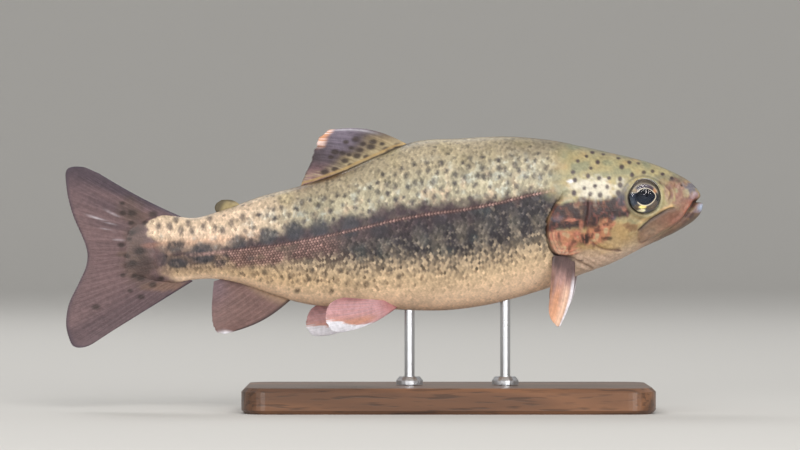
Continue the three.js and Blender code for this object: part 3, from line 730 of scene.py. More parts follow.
def body_colour(points, girth, side, tone, rim):
    """Colour of the scaled body. Tone is each scale's own luck, rim is 1 at its edge."""
    x = points[:, 0]
    up = np.clip(girth / crest_girth(x), 0, 1)
    down = np.clip(girth / keel_girth(x), 0, 1)
    lumps, fine = noise(points, 2.6, 1), noise(points, 1.0, 2)
    again = (7.3 * tone) % 1         # a second luck of each scale, drawn from the first
    bead = smoothstep(0.75, 0.3, rim)

    colour = ground_colour(points, girth, up, down, again, lumps)
    colour = blend(colour, SPOT_BLUE, spots_of("upper", x, girth, side) * (1.0 - 0.12 * tone))
    colour = blend(colour, SPOT_BROWN, spots_of("lower", x, girth, side) * (1.0 - 0.3 * tone))
    fleck = smoothstep(0.16, 0.02, again) * smoothstep(-4, -10, girth) * smoothstep(0.72, 0.5, down)
    colour = blend(colour, CHEEK_BROWN, fleck * 0.5)
    colour = add_band(colour, points, girth, tone, again, rim, lumps, fine)
    colour = add_parr_marks(colour, points, tone, lumps, fine)
    colour = add_beads(colour, points, girth, tone, bead, lumps)
    colour = add_dorsal_root(colour, x, crest_girth(x) - girth, bead)

    # Each scale is a little its own tone, lighter in its middle and with painted shade at its edge.
    lively = (0.8 + 0.2 * smoothstep(0.75, 0.5, up)) * (1 - 0.65 * smoothstep(0.52, 0.78, down))
    shade = (1 + lively * (0.54 * tone - 0.27)) * (1.17 - (0.14 + 0.2 * lively) * rim)
    # Painted shade on the front of the back, to temper the lamp's light there.
    shade = shade * (1 - 0.38 * smoothstep(28, 46, x) * smoothstep(0.4, 0.8, up))
    shade = shade * (1 - 0.25 * lively * smoothstep(0.14, 0.0, again))
    # A few scales carry a painted glint.
    shade = shade * (1 + 0.22 * lively * smoothstep(0.84, 1.0, again))
    return colour * shade[:, None]


# Patches of the head: x, z, half length, half height, colour, strength.
HEAD_PATCHES = [
    (66, 8.6, 8.8, 3.6, HEAD_CREAM, 0.9), (58.5, 7.4, 3.2, 1.6, SNOUT_CREAM, 0.7),
    # The white patch at 59.1, 11.3 is a painted highlight.
    (56.1, 9.1, 2.0, 1.8, SHOULDER_GREEN, 0.6), (59.1, 11.3, 1.2, 0.5, FIN_WHITE, 0.7),
    (53.6, 6.0, 1.3, 1.9, COVER_SLATE, 0.5), (76.0, 6.6, 1.8, 2.4, COVER_SLATE, 0.5),
    (54.2, 0.1, 1.8, 0.9, COVER_SLATE, 0.85), (58.9, -1.8, 1.7, 1.0, COVER_DARK, 0.85),
    (55.6, -2.4, 2.2, 0.7, COVER_DARK, 0.7), (56.4, 2.2, 1.8, 1.4, COVER_PURPLE, 0.8),
    (58.4, -0.6, 2.0, 0.45, COVER_SALMON, 0.8), (61.2, -2.6, 0.6, 1.8, COVER_SALMON, 0.45),
    (61.8, 2.2, 0.9, 2.8, CHEEK_BROWN, 0.6), (60.4, 4.2, 1.0, 0.9, COVER_ORANGE, 0.4),
    (76.0, 3.8, 2.4, 2.4, COVER_SLATE, 0.85), (68.5, 1.6, 4.2, 3.2, COVER_DARK, 0.5),
    (69.8, 3.4, 1.1, 1.5, COVER_DARK, 0.9), (71.5, -0.9, 1.0, 1.1, COVER_SLATE, 0.8),
    (74.9, 4.4, 2.2, 1.1, COVER_SLATE, 0.7), (75.0, 1.6, 1.2, 0.8, COVER_ORANGE, 0.5),
    (73.6, 2.4, 1.4, 1.6, COVER_PURPLE, 0.6), (53.4, -5.0, 2.3, 1.4, COVER_SALMON, 0.8),
    (57.4, -5.2, 2.2, 1.3, COVER_ORANGE, 0.6), (57.6, -8.0, 2.6, 0.8, COVER_SALMON, 0.8),
    (59.8, -5.4, 1.2, 1.0, COVER_RED, 0.6), (64.6, -5.3, 1.3, 2.0, COVER_ORANGE, 0.95),
    (66.6, -4.6, 0.7, 1.8, COVER_RED, 0.6), (69.2, -2.2, 1.7, 1.5, COVER_ORANGE, 0.6),
    (62.6, -7.1, 1.0, 1.5, COVER_DARK, 0.9), (69.4, -7.3, 1.4, 0.7, COVER_DARK, 0.75),
    (60.4, -8.6, 1.6, 0.8, CHEEK_GOLD, 0.85), (66.4, -9.6, 4.2, 0.9, CHEEK_GOLD, 0.8),
    (74.6, -4.9, 3.2, 2.6, CHEEK_GOLD, 0.85), (75.2, -3.6, 1.2, 0.9, CHEEK_BROWN, 0.35),
    # The thin dark patches at 72.4, -11.3 and 60.6, -13.6 are painted shade in the notches at the
    # cheek edge and the gill slit; the dark patch at 54.4, -12.8 is the painted shadow of the cover's
    # edge over the pectoral's root.
    (72.4, -11.3, 1.3, 0.3, CREASE_SHADE, 0.7), (60.6, -13.6, 0.9, 0.3, CREASE_SHADE, 0.7),
    (54.4, -12.8, 3.2, 1.7, COVER_DARK, 0.85), (62, -11.4, 5.5, 1.2, THROAT, 0.5),
    (94.5, 5.4, 4.2, 4.6, FOLD_PINK, 0.75), (91.5, 10.6, 5.5, 1.6, HEAD_CREST, 0.7),
    # The lilac patches at 97.9, 4.2 and 96.8, 3.1 and the cream one at 95.0, 5.2 are painted
    # highlights on the snout.
    (96.7, 6.4, 2.4, 1.9, SNOUT_GREY, 0.85), (97.9, 4.2, 1.4, 1.5, LILAC_SHEEN, 0.6),
    (95.0, 5.2, 1.1, 1.4, SNOUT_CREAM, 0.7), (96.8, 3.1, 1.2, 0.7, LILAC_SHEEN, 0.45),
    (92.2, 5.0, 1.9, 1.5, FOLD_PINK, 0.75), (91.0, 8.4, 1.6, 1.2, FOLD_PINK, 0.7),
    (88.8, 5.6, 0.7, 2.4, FLAP_PINK, 0.6), (88.0, 9.3, 2.0, 0.8, CHEEK_GOLD, 0.4),
    (90.9, 9.7, 1.1, 0.6, JAW_SHADE, 0.7), (92.7, 9.0, 0.9, 0.5, JAW_SHADE, 0.5),
    (92.9, 7.6, 0.8, 0.7, FLAP_PINK, 0.95), (93.8, 6.9, 0.4, 0.35, FLAP_PINK, 0.9),
    # The dark dot at 93.9, 7.8 is painted shade in the nostril's pit; the blue at the lip's tip
    # (99.8, 0.6) and the lilac under it (98.3, -0.6) are painted highlights.
    (93.9, 7.8, 0.32, 0.36, CREASE_SHADE, 0.8), (95.2, 3.2, 1.4, 0.7, JAW_SHADE, 0.4),
    (99.8, 0.6, 1.3, 1.3, LIP_HIGHLIGHT, 0.95), (95.9, -1.9, 1.5, 0.9, JAW_SHADE, 0.9),
    (98.3, -0.6, 1.2, 0.7, LILAC_SHEEN, 0.35), (93.8, -3.6, 1.5, 0.9, JAW_SHADE, 0.5),
    (77.6, -4.6, 2.2, 1.3, CHEEK_BROWN, 0.8), (75.4, -3.4, 1.6, 0.8, CHEEK_BROWN, 0.6),
    (81.0, -7.4, 1.3, 1.3, RIDGE_PEACH, 0.4),
    (84.5, -1.8, 3.6, 1.9, CHEEK_BROWN, 0.45), (90.6, -2.0, 2.2, 1.4, LIP_RED, 0.5),
    (96.2, 1.8, 2.2, 1.3, FOLD_PINK, 0.7), (93.0, 1.6, 3.2, 2.2, FOLD_PINK, 0.5),
]


def head_colour(points, girth, side):
    """Colour of the bare head, from soft patches, spots and the dark of its folds."""
    x, z = points[:, 0], points[:, 2]
    lumps = noise(points, 2.0, 5)
    fine = noise(points, 0.8, 6)
    grit = noise(points, 0.5, 7)
    up = np.clip(girth / crest_girth(x), 0, 1)

    colour = blend(HEAD_OLIVE, HEAD_CREST, smoothstep(0.5, 0.95, up))
    patches = noise(points, 3.2, 18)
    colour = blend(colour, CHEEK_GOLD, smoothstep(0.1, 0.7, patches) * 0.6)
    colour = blend(colour, SHOULDER_GREEN * 0.76, smoothstep(0.0, 0.6, -patches) * 0.7)
    colour = blend(colour, THROAT, smoothstep(-4, -13, z + lumps))
    jaw = smoothstep(-0.6, 1.0, -z + np.interp(x, [76, 80, 86, 94, 99], [-14, -9, -7, -2.6, 1.4]))
    chin = blend(JAW_GREY, CHIN_ROSE, smoothstep(88, 76, x))
    colour = blend(colour, chin, jaw * smoothstep(72, 78, x) * 0.85)

    drift = 1.5 * noise(points, 3.0, 31) + 0.5 * fine
    rise = 1.7 * noise(points, 2.6, 32) + 0.6 * fine
    purple = smoothstep(-0.8, 1.0, depth_inside(x + drift, z + rise, PURPLE_AREA) + 0.5 * lumps)
    orange = smoothstep(-0.8, 1.0, depth_inside(x - rise, z + drift, ORANGE_AREA) + 0.5 * lumps)
    colour = blend(colour, CHEEK_GOLD, oval(x, z, (67, -7), (11, 5.2), 0.3, 0.15 * lumps) * 0.7)
    tanned = smoothstep(-0.1, 0.6, noise(points, 4.0, 35)) * smoothstep(2, -2, z)
    tanned = tanned * smoothstep(-12, -9, z)
    colour = blend(colour, CHEEK_BROWN, tanned * 0.45)
    colour = blend(colour, COVER_ORANGE, orange * 0.85)
    colour = blend(colour, COVER_PURPLE, purple)
    colour = lay_patches(colour, x, z, HEAD_PATCHES, 0.45, 0.4 * lumps + 0.4 * fine, 0.6)
    mottled = np.maximum(purple, orange)
    marbling = noise(points, 1.5, 22)
    colour = blend(colour, COVER_RED, smoothstep(0.0, 0.5, fine) * (0.3 * purple + 0.35 * orange))
    colour = blend(colour, COVER_ORANGE, smoothstep(0.25, 0.7, marbling) * purple * 0.16)
    colour = blend(colour, COVER_DARK * 0.85, smoothstep(0.05, 0.45, -marbling) * mottled * 0.7)
    colour = blend(colour, COVER_SALMON, smoothstep(0.2, 0.6, grit) * orange * 0.4)
    colour = blend(colour, SNOUT_CREAM, smoothstep(0.1, 0.55, marbling) * orange * 0.7)

    # Curved streaks along the lower rear edge of the gill cover.
    cover = depth_inside(x, z, GILL_COVER)
    low_rear = smoothstep(-2.5, -5, z) * smoothstep(62, 58, x) * smoothstep(0.1, 0.5, cover)
    streak = np.cos(cover * 2 * math.pi / 1.05 + 1.2 * fine) * smoothstep(3.4, 2.4, cover)
    colour = blend(colour, COVER_SALMON, smoothstep(0.1, 0.8, streak) * low_rear * 0.7)
    colour = blend(colour, COVER_RED, smoothstep(0.2, 0.9, -streak) * low_rear * 0.7)
    colour = blend(colour, COVER_SALMON, bell(cover - 0.25, 0.3) * smoothstep(60, 55, x) * 0.3)

    # Jaws: the red upper lip, painted shade along the mouth and in the crease, and the light ridge
    # over the plate.
    lip, along = line_distance(x, z, UPPER_LIP)
    colour = blend(colour, LIP_RED, bell(lip, 2.1) * (0.6 - 0.3 * along))
    colour = blend(colour, LIP_RED, bell(lip, 0.8) * 0.8)
    paddle = depth_inside(x, z, JAW_PADDLE)
    crease, along = line_distance(x, z, JAW_CREASE)
    plate = smoothstep(-0.6, 0.9, paddle + 0.2 * lumps)
    colour = blend(colour, FLAP_PINK * 0.88, plate * (0.7 + 0.2 * lumps))
    colour = blend(colour, LIP_RED * 0.85, plate * smoothstep(81, 90, x) * 0.5)
    colour = blend(colour, JAW_BROWN, plate * bell(crease, 2.4) * 0.75)
    ridge, along = line_distance(x, z, CHEEK_RIDGE)
    colour = blend(colour, RIDGE_PEACH, bell(ridge, 0.55) * (0.9 - 0.4 * along))
    colour = blend(colour, CREASE_SHADE, bell(crease, 0.42) * (0.55 + 0.4 * smoothstep(0.05, 0.3, along)))
    loop, _ = line_distance(x, z, JAW_LOOP)
    colour = blend(colour, CHEEK_BROWN, bell(loop, 0.35) * 0.4)
    mouth, along = line_distance(x, z, MOUTH_LINE)
    fade = smoothstep(0.6, 0.2, along)
    colour = blend(colour, CREASE_SHADE, bell(mouth, 0.25 + 0.5 * fade) * (0.12 + 0.83 * fade))

    colour = blend(colour, HEAD_SPOT, spots_of("head", x, girth, side))

    # Rings of the orbit, with painted shade in its groove, at the socket's rim and inside it, and
    # painted light on the socket's upper wall; then painted shade inside every other fold and along
    # the gill slit.
    ring = np.hypot(x - OPENING_X, z - OPENING_Z)
    colour = blend(colour, ORBIT_OLIVE, bell(ring - 5.7, 0.5) * 0.7)
    corner = bell(ring - 5.6, 0.7) * smoothstep(2, -4, (x - 79) + 0.4 * (z - 4))
    colour = blend(colour, COVER_PURPLE, corner * 0.5)
    colour = blend(colour, ORBIT_SHADE, bell(ring - 7.0, 0.28) * smoothstep(3, 9, z) * 0.55)
    lit = smoothstep(0.5, 3.5, z - OPENING_Z)
    colour = blend(colour, ORBIT_SHADE, bell(ring - 4.9, 0.35) * 0.8 + (ring < 4.9))
    colour = blend(colour, ORBIT_OLIVE, (ring < 5.2) * lit * 0.55)
    for line, width, strength in (
        (SNOUT_FOLD, 0.35, 0.6), (BROW_FOLD, 0.3, 0.5), (CHEEK_EDGE, 0.35, 0.5),
    ):
        fold, _ = line_distance(x, z, line)
        colour = blend(colour, FOLD_SHADE_RED, bell(fold, width) * strength)
    slit, along = line_distance(x, z, GILL_SLIT)
    shown = smoothstep(0.02, 0.2, along) * (1 - 0.8 * smoothstep(0.7, 0.95, along))
    colour = blend(colour, CREASE_SHADE, bell(slit, 0.8) * 0.95 * shown)
    return colour * (1 + 0.12 * fine + 0.1 * lumps + 0.13 * grit)[:, None]


def small_ovals(x, z, spots, wide, tall):
    """1 inside small ovals round the given places, fading out at their rims."""
    mask = np.zeros(len(x))
    for i, (cx, cz) in enumerate(spots):
        size = 0.75 + 0.5 * ((i * 7) % 5) / 4
        mask = np.maximum(mask, oval(x, z, (cx, cz), (size * wide, size * tall), 0.5))
    return mask


TAIL_SPOTS = [
    (-81.5, 14.4), (-81.4, 11.3), (-78.6, 11.1), (-79.1, 8.0), (-79.3, 4.8), (-80.1, 3.0),
    (-82.7, 1.3), (-76.9, -1.0), (-81.1, -2.3), (-79.4, -4.6), (-82.8, -8.2), (-79.0, -8.7),
    (-77.2, -9.5), (-70.9, -10.2), (-73.6, -11.9), (-80.9, -13.3), (-77.6, -15.4),
    (-72.0, 10.3), (-74.7, 7.7), (-92.0, -17.6),
]
TAIL_PATCHES = [                 # x, z, half length, half height, colour, strength
    (-77.6, 4.0, 3.4, 7.5, TAIL_BROWN, 0.5), (-77.4, -5.4, 5.0, 6.0, TAIL_BROWN, 0.7),
    (-69, -12.5, 6.5, 1.5, CHEEK_BROWN, 0.45), (-74.6, 9.8, 2.6, 1.4, JAW_GREY, 0.6),
    (-79.5, 12.5, 3.6, 3.6, TAIL_BROWN, 0.45), (-73.8, 0.5, 2.8, 0.8, FOLD_PINK, 0.7),
    (-77.2, -1.0, 2.2, 1.7, COVER_DARK, 0.8), (-79.8, -5.0, 2.2, 1.2, COVER_DARK, 0.7),
    (-75.8, -6.8, 3.0, 2.4, COVER_DARK, 0.6), (-75.0, -4.0, 2.4, 1.4, COVER_DARK, 0.6),
    (-72.2, -9.9, 2.0, 1.2, COVER_DARK, 0.55), (-77.4, 5.6, 1.8, 1.2, COVER_DARK, 0.45),
    (-82.0, -1.6, 3.0, 1.0, TAIL_BROWN, 0.5),
]
TAIL_GLINTS = [((-94.3, 12.2), (-82.3, 6.9)), ((-89.6, 7.4), (-83.4, 5.1)),
               ((-88.2, 13.4), (-81.8, 9.6)), ((-86, 3.2), (-80.5, 2.4))]


def tail_colour(points):
    """Colour of the tail's rays and of the thin flesh that runs out over them."""
    x, z = points[:, 0], points[:, 2]
    turn, length = np.arctan2(z + 1.2, -(x + 46)), np.hypot(x + 46, z + 1.2)
    ray = np.stack([turn * 90, length * 0.12, 0 * x], -1)
    broad = np.stack([turn * 14, length * 0.05, 0 * x], -1)
    fine, coarse = noise(ray, 1.0, 43), noise(broad, 1.0, 44)
    middle = 1 - np.abs(turn) / 0.6
    colour = blend(TAIL_MAUVE, TAIL_PINK, smoothstep(0.0, 0.75, middle + 0.25 * coarse))
    colour = blend(colour, TAIL_PINK, smoothstep(0, -16, z) * 0.5)
    ragged = 0.22 * noise(points, 1.6, 19) + 0.12 * fine
    colour = lay_patches(colour, x, z, TAIL_PATCHES, 0.55, ragged)
    colour = blend(colour, SPOT_BROWN * 0.5, small_ovals(x, z, TAIL_SPOTS, 1.15, 0.8) * 0.8)
    for start, end in TAIL_GLINTS:
        glint, along = line_distance(x, z, [start, end], 8)
        soft = bell(glint, 0.36) * smoothstep(0, 0.4, along) * smoothstep(1, 0.6, along)
        colour = blend(colour, FIN_WHITE, soft * (0.18 + 0.2 * fine))
    return colour * (1 + 0.045 * fine + 0.07 * coarse)[:, None]


def fish_colour(points, girth, side, tone, rim):
    """Colour anywhere on the skin or its scales: head, body and foot of the tail, blended."""
    x, z = points[:, 0], points[:, 2]
    width = 0.5 + 9 * smoothstep(3, 9, z)
    share = smoothstep(0, 1, (nape_x(z) - x + 0.4 * noise(points, 1.5, 20)) / width)
    fade = 0.7 + 5 * smoothstep(3.5, 0.5, z)
    tail = smoothstep(fade, -0.7, x - coat_end_x(z) + noise(points, 1.4, 23))
    colour = np.empty((len(x), 3))
    body = share > 0
    colour[body] = body_colour(points[body], girth[body], side[body], tone[body], rim[body])
    head = share < 1
    bare = head_colour(points[head], girth[head], side[head])
    # Near the scales the bare head takes their painted edge shade as they fade in.
    bare = bare * (1 - 0.12 * (share[head] * rim[head])[:, None])
    colour[head] = np.where(
        body[head][:, None], blend(bare, colour[head], share[head]), bare
    )
    foot = tail > 0
    colour[foot] = blend(colour[foot], tail_colour(points[foot]), tail[foot])
    return colour


# ---------------------------------------------------------------- meshes

def build(name, points, faces, material, colour=None, uv=None, values=(), crisp=None):
    """A smooth mesh object from points in mm; edges between two crisp points stay sharp."""
    mesh = bpy.data.meshes.new(name)
    faces = [np.asarray(f, np.int32) for f in faces if len(f)]
    corners = np.concatenate([f.ravel() for f in faces])
    sizes = np.concatenate([np.full(len(f), f.shape[1], np.int32) for f in faces])
    mesh.vertices.add(len(points))
    mesh.vertices.foreach_set("co", place(points).astype(np.float32).ravel())
    mesh.loops.add(len(corners))
    mesh.loops.foreach_set("vertex_index", corners)
    mesh.polygons.add(len(sizes))
    mesh.polygons.foreach_set("loop_start", np.concatenate([[0], np.cumsum(sizes)[:-1]]))
    mesh.polygons.foreach_set("use_smooth", np.ones(len(sizes), bool))
    mesh.update(calc_edges=True)
    if crisp is not None:
        ends = np.empty(2 * len(mesh.edges), np.int32)
        mesh.edges.foreach_get("vertices", ends)
        sharp = crisp[ends.reshape(-1, 2)].all(axis=1)
        mesh.attributes.new("sharp_edge", "BOOLEAN", "EDGE").data.foreach_set("value", sharp)
    if colour is not None:
        rgba = np.concatenate([colour, np.ones((len(colour), 1))], axis=1)
        layer = mesh.attributes.new("tint", "FLOAT_COLOR", "POINT")
        layer.data.foreach_set("color", rgba.astype(np.float32).ravel())
    for label, value in values:
        layer = mesh.attributes.new(label, "FLOAT", "POINT")
        layer.data.foreach_set("value", value.astype(np.float32))
    if uv is not None:
        layer = mesh.uv_layers.new(name="OFBake")
        layer.uv.foreach_set("vector", uv.astype(np.float32).ravel())
    mesh.materials.append(material)
    piece = bpy.data.objects.new(name, mesh)
    bpy.context.scene.collection.objects.link(piece)
    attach(piece, "root")
    return piece


def grid_quads(rows, columns, start=0, wrap=False):
    """Quads of a grid of points, row by row, with its columns joined round if wrap."""
    i = np.arange(rows - 1)[:, None]
    j = np.arange(columns if wrap else columns - 1)[None, :]
    a = start + i * columns + j
    b = start + i * columns + (j + 1) % columns
    return np.stack([a, b, b + columns, a + columns], -1).reshape(-1, 4)


UNWRAP_START_X, UNWRAP_LENGTH, UNWRAP_GIRTH = -84, 188, 136      # mm that fill the unwrap


def unwrap(x, girth, side):
    """Place on the unwrap of the skin: along the body, and round it from the back."""
    around = (crest_girth(x) - girth) * side
    along = (x - UNWRAP_START_X) / UNWRAP_LENGTH
    return np.stack([along, 0.5 + around / UNWRAP_GIRTH], -1)


# ---------------------------------------------------------------- the skin

HEAD_END_X = 47.0
TRUNK_ROWS, STALK_ROWS, COLUMNS = 104, 30, 260
# The bare skin takes the painted shade of a scale's edge.
SKIN_RIM = 0.8                   # the bare skin is painted as near the edge of a scale


def skin_rows():
    """Where the sections of the skin lie: finest at the lips, close together on the head."""
    widest = 0.28
    head, root = [], 0.0
    while JAW_TIP_X - root * root > HEAD_END_X + widest:
        root += min(0.04, widest / 2 / max(root, 0.1))
        head.append(JAW_TIP_X - root * root)
    trunk = np.linspace(HEAD_END_X, STALK_END_X, TRUNK_ROWS + 1)
    stalk = np.linspace(STALK_END_X, SKIN_END_X, STALK_ROWS + 1)[1:]
    return np.concatenate([head, trunk, stalk])


def head_relief(points, sideways):
    """How far the skin of the head stands out from the plain outline, mm."""
    x, z = points[:, 0], points[:, 2]
    ring = np.hypot(x - OPENING_X, z - OPENING_Z)
    lift = 0.30 * bell(ring - 5.6, 0.5) - 0.16 * bell(ring - 6.9, 0.4)
    lift -= 3.0 * (1 - smoothstep(OPENING_RADIUS - 0.35, OPENING_RADIUS + 0.15, ring))

    # The plate of the upper jaw: its crease above, the light ridge over that, its loop behind.
    paddle = depth_inside(x, z, JAW_PADDLE)
    lift += 0.2 * smoothstep(-0.3, 1.6, paddle) * smoothstep(94, 90, x)
    crease, _ = line_distance(x, z, JAW_CREASE)
    lift -= 0.5 * bell(crease, 0.3)
    ridge, _ = line_distance(x, z, CHEEK_RIDGE)
    lift += 0.24 * bell(ridge, 0.55)
    loop, _ = line_distance(x, z, JAW_LOOP)
    lift -= 0.2 * bell(loop, 0.3)

    # The mouth: a notch with a wide upper side at the front, a groove under the plate behind.
    mouth, _ = line_distance(x, z, MOUTH_LINE)
    front = smoothstep(91, 99.5, x)
    above = z > table(MOUTH_LINE, x)
    lift += 0.2 * bell(mouth - 1.15, 0.55) * smoothstep(80, 88, x) * (1 - front)
    width = np.where(above, 0.35 + 0.75 * front, 0.25 + 0.2 * front)
    lift -= (0.22 + 1.85 * front) * bell(mouth, width)
    lip, _ = line_distance(x, z, UPPER_LIP)
    lift += 0.22 * bell(lip, 0.55)

    flap = np.hypot(x - NOSTRIL_FLAP[0], z - NOSTRIL_FLAP[1])
    lift += 0.4 * bell(flap, 0.6)
    for dx, dz, deep in ((1.0, 0.25, 0.8), (-1.0, 0.25, 0.6)):
        pit = np.hypot(x - NOSTRIL_FLAP[0] - dx, z - NOSTRIL_FLAP[1] - dz)
        lift -= deep * bell(pit, 0.4)
    for line in (SNOUT_FOLD, BROW_FOLD):
        fold, _ = line_distance(x, z, line)
        lift += 0.14 * bell(fold - 0.9, 0.5) - 0.26 * bell(fold, 0.32)

    cheek_edge, _ = line_distance(x, z, CHEEK_EDGE)
    lift += 0.14 * bell(cheek_edge - 1.0, 0.6) - 0.28 * bell(cheek_edge, 0.32)
    cover = depth_inside(x, z, GILL_COVER)
    proud = 0.25 + 0.72 * smoothstep(-64, -52, -x)
    lift += proud * smoothstep(-0.1, 0.75, cover)
    slit, along = line_distance(x, z, GILL_SLIT)
    lift -= (0.95 - 0.35 * along) * bell(slit, 0.5) * smoothstep(0.0, 0.12, along)

    # Rays of the gill membrane under the cover.
    membrane = smoothstep(-11.2, -12.4, z) * smoothstep(76, 70, x) * smoothstep(56, 59, x)
    fan = (z + 11.5) + 0.42 * (x - 58) * smoothstep(56, 66, x)
    lift += 0.045 * membrane * np.cos(fan * 2 * math.pi / 1.9)
    soft = noise(points, 2.2, 8) * 0.05 + noise(points, 0.9, 9) * 0.03
    return lift * sideways + soft


def unit(vectors):
    return vectors / np.maximum(np.linalg.norm(vectors, axis=-1, keepdims=True), 1e-9)


def grid_normals(grid):
    """Outward normals of a tube, from its rings of points."""
    round_step = np.roll(grid, -1, axis=1) - np.roll(grid, 1, axis=1)
    normal = unit(np.cross(round_step, np.gradient(grid, axis=0)))
    centre = grid.mean(axis=1, keepdims=True)
    return normal * np.sign(((grid - centre) * normal).sum(axis=(1, 2)))[:, None, None]


def make_skin(material):
    """The whole skin: a tube of sections from the lips to the root of the tail, closed by fans."""
    x = skin_rows()
    angle = np.arange(COLUMNS) * 2 * math.pi / COLUMNS
    grid = skin_point(x[:, None], angle[None, :])
    rows = len(x)
    flat = grid.reshape(-1, 3)
    flat_normal = grid_normals(grid).reshape(-1, 3)
    xs, zs = flat[:, 0], flat[:, 2]
    lift = -coat_depth(xs, zs)
    on_head = xs > HEAD_END_X
    sideways = smoothstep(0.1, 0.5, np.abs(flat_normal[:, 1]) + smoothstep(94, 99, xs))
    lift[on_head] += head_relief(flat[on_head], sideways[on_head])
    lifted = flat + flat_normal * lift[:, None]
    nose = np.array([[JAW_TIP_X - 2.0, 0, 1.5]])
    end = np.array([[SKIN_END_X, 0, -1.0]])
    points = np.concatenate([lifted, nose, end])

    girth = girth_at(xs, np.tile(angle, rows))
    side = np.where(np.tile(angle, rows) < math.pi, -1, 1)
    luck = 0.5 + 0.5 * noise(flat, 0.8, 4)
    colour = fish_colour(flat, girth, side, luck, np.full(len(flat), SKIN_RIM))
    # The nose point takes painted shade, deep in the mouth's notch.
    colour = np.concatenate([colour, [CREASE_SHADE], [TAIL_MAUVE]])

    quads = grid_quads(rows, COLUMNS, wrap=True)[:, ::-1]
    ring = np.arange(COLUMNS)
    nose_fan = np.stack([np.full(COLUMNS, rows * COLUMNS), (ring + 1) % COLUMNS, ring], -1)
    last = (rows - 1) * COLUMNS
    end_fan = np.stack(
        [np.full(COLUMNS, rows * COLUMNS + 1), last + ring, last + (ring + 1) % COLUMNS], -1
    )

    # The unwrap is cut along the belly, so the columns next to the cut get their own side.
    place_uv = unwrap(xs, girth, side)
    place_uv = np.concatenate([place_uv, [[0.98, 0.5]], [[0.01, 0.5]]])
    fans = [nose_fan, end_fan]
    uv = np.concatenate([place_uv[f.ravel()] for f in [quads, *fans]])
    return build("trout_skin", points, [quads, *fans], material, colour, uv)


# ---------------------------------------------------------------- the scales

RIM_POINTS = 9
LONG_HALF, WIDE_HALF = 0.92, 1.02     # half size of a scale, as shares of the two pitches
MOST_ROWS = 44                        # rows of scales above and below the lateral line
SCALE_PATCH = 0.0014                  # half size of a scale on the unwrap


def scale_roots(rng):
    """Places of one flank's scales: x and girth, in rows that run along the body."""
    roots = []
    x_even = [68.0]
    while x_even[-1] > SKIN_END_X + 7:
        x_even.append(x_even[-1] - float(table(SCALE_PITCH, x_even[-1])))
    x_even = np.array(x_even)
    for row in range(-MOST_ROWS, MOST_ROWS + 1):
        x = x_even - (row % 2) * 0.5 * table(SCALE_PITCH, x_even)
        girth = row * table(ROW_PITCH, x)
        inside = (girth < crest_girth(x) - 0.15) & (girth > keel_girth(x) + 0.15)
        roots.append(np.stack([x, girth], -1)[inside])
    roots = np.concatenate(roots)
    roots += rng.normal(0, 0.035, roots.shape)
    z = skin_point(roots[:, 0], angle_at(roots[:, 0], roots[:, 1]))[:, 2]
    keep = (nape_x(z) - roots[:, 0] > 0.7) & (roots[:, 0] > coat_end_x(z) + 0.3)
    return roots[keep]


def flank_point(x, girth, side):
    point = skin_point(x, angle_at(x, girth))
    point[..., 1] *= -side
    return point


def scale_lens():
    """Points of one scale: along and across it, its dome, and 1 at its rim.

    The first point is the top of the dome, then come a ring on it, the rim and the underside.
    """
    theta = np.arange(RIM_POINTS) * 2 * math.pi / RIM_POINTS
    rim_s, rim_t = np.cos(theta), np.sin(theta) * (1 - 0.1 * np.cos(theta))
    s = np.concatenate([[0.42], 0.42 + 0.4 * rim_s, rim_s, [0.0]])
    t = np.concatenate([[0.0], 0.52 * np.sin(theta), rim_t, [0.0]])
    dome = np.concatenate([[0.042], np.full(RIM_POINTS, 0.03), np.full(RIM_POINTS, 0.0), [-0.07]])
    rim = np.concatenate([[0.0], np.full(RIM_POINTS, 0.6), np.ones(RIM_POINTS), [0.5]])
    return s, t, dome, rim


def scale_faces(number, count, side):
    """Faces of a number of scales, each of count points in the order of scale_lens()."""
    ring = np.arange(RIM_POINTS)
    after = (ring + 1) % RIM_POINTS
    inner, outer = 1 + ring, 1 + RIM_POINTS + ring
    inner_after, outer_after = 1 + after, 1 + RIM_POINTS + after
    under = np.stack([np.full(RIM_POINTS, count - 1), outer_after, outer], -1)
    skirt = np.stack([inner, outer, outer_after, inner_after], -1)
    top = np.stack([np.zeros(RIM_POINTS, int), inner, inner_after], -1)
    if side > 0:
        under, skirt, top = under[:, ::-1], skirt[:, ::-1], top[:, ::-1]
    each = np.arange(number)[:, None] * count
    return [(each[:, :, None] + part[None]).reshape(-1, part.shape[1])
            for part in (under, skirt, top)]


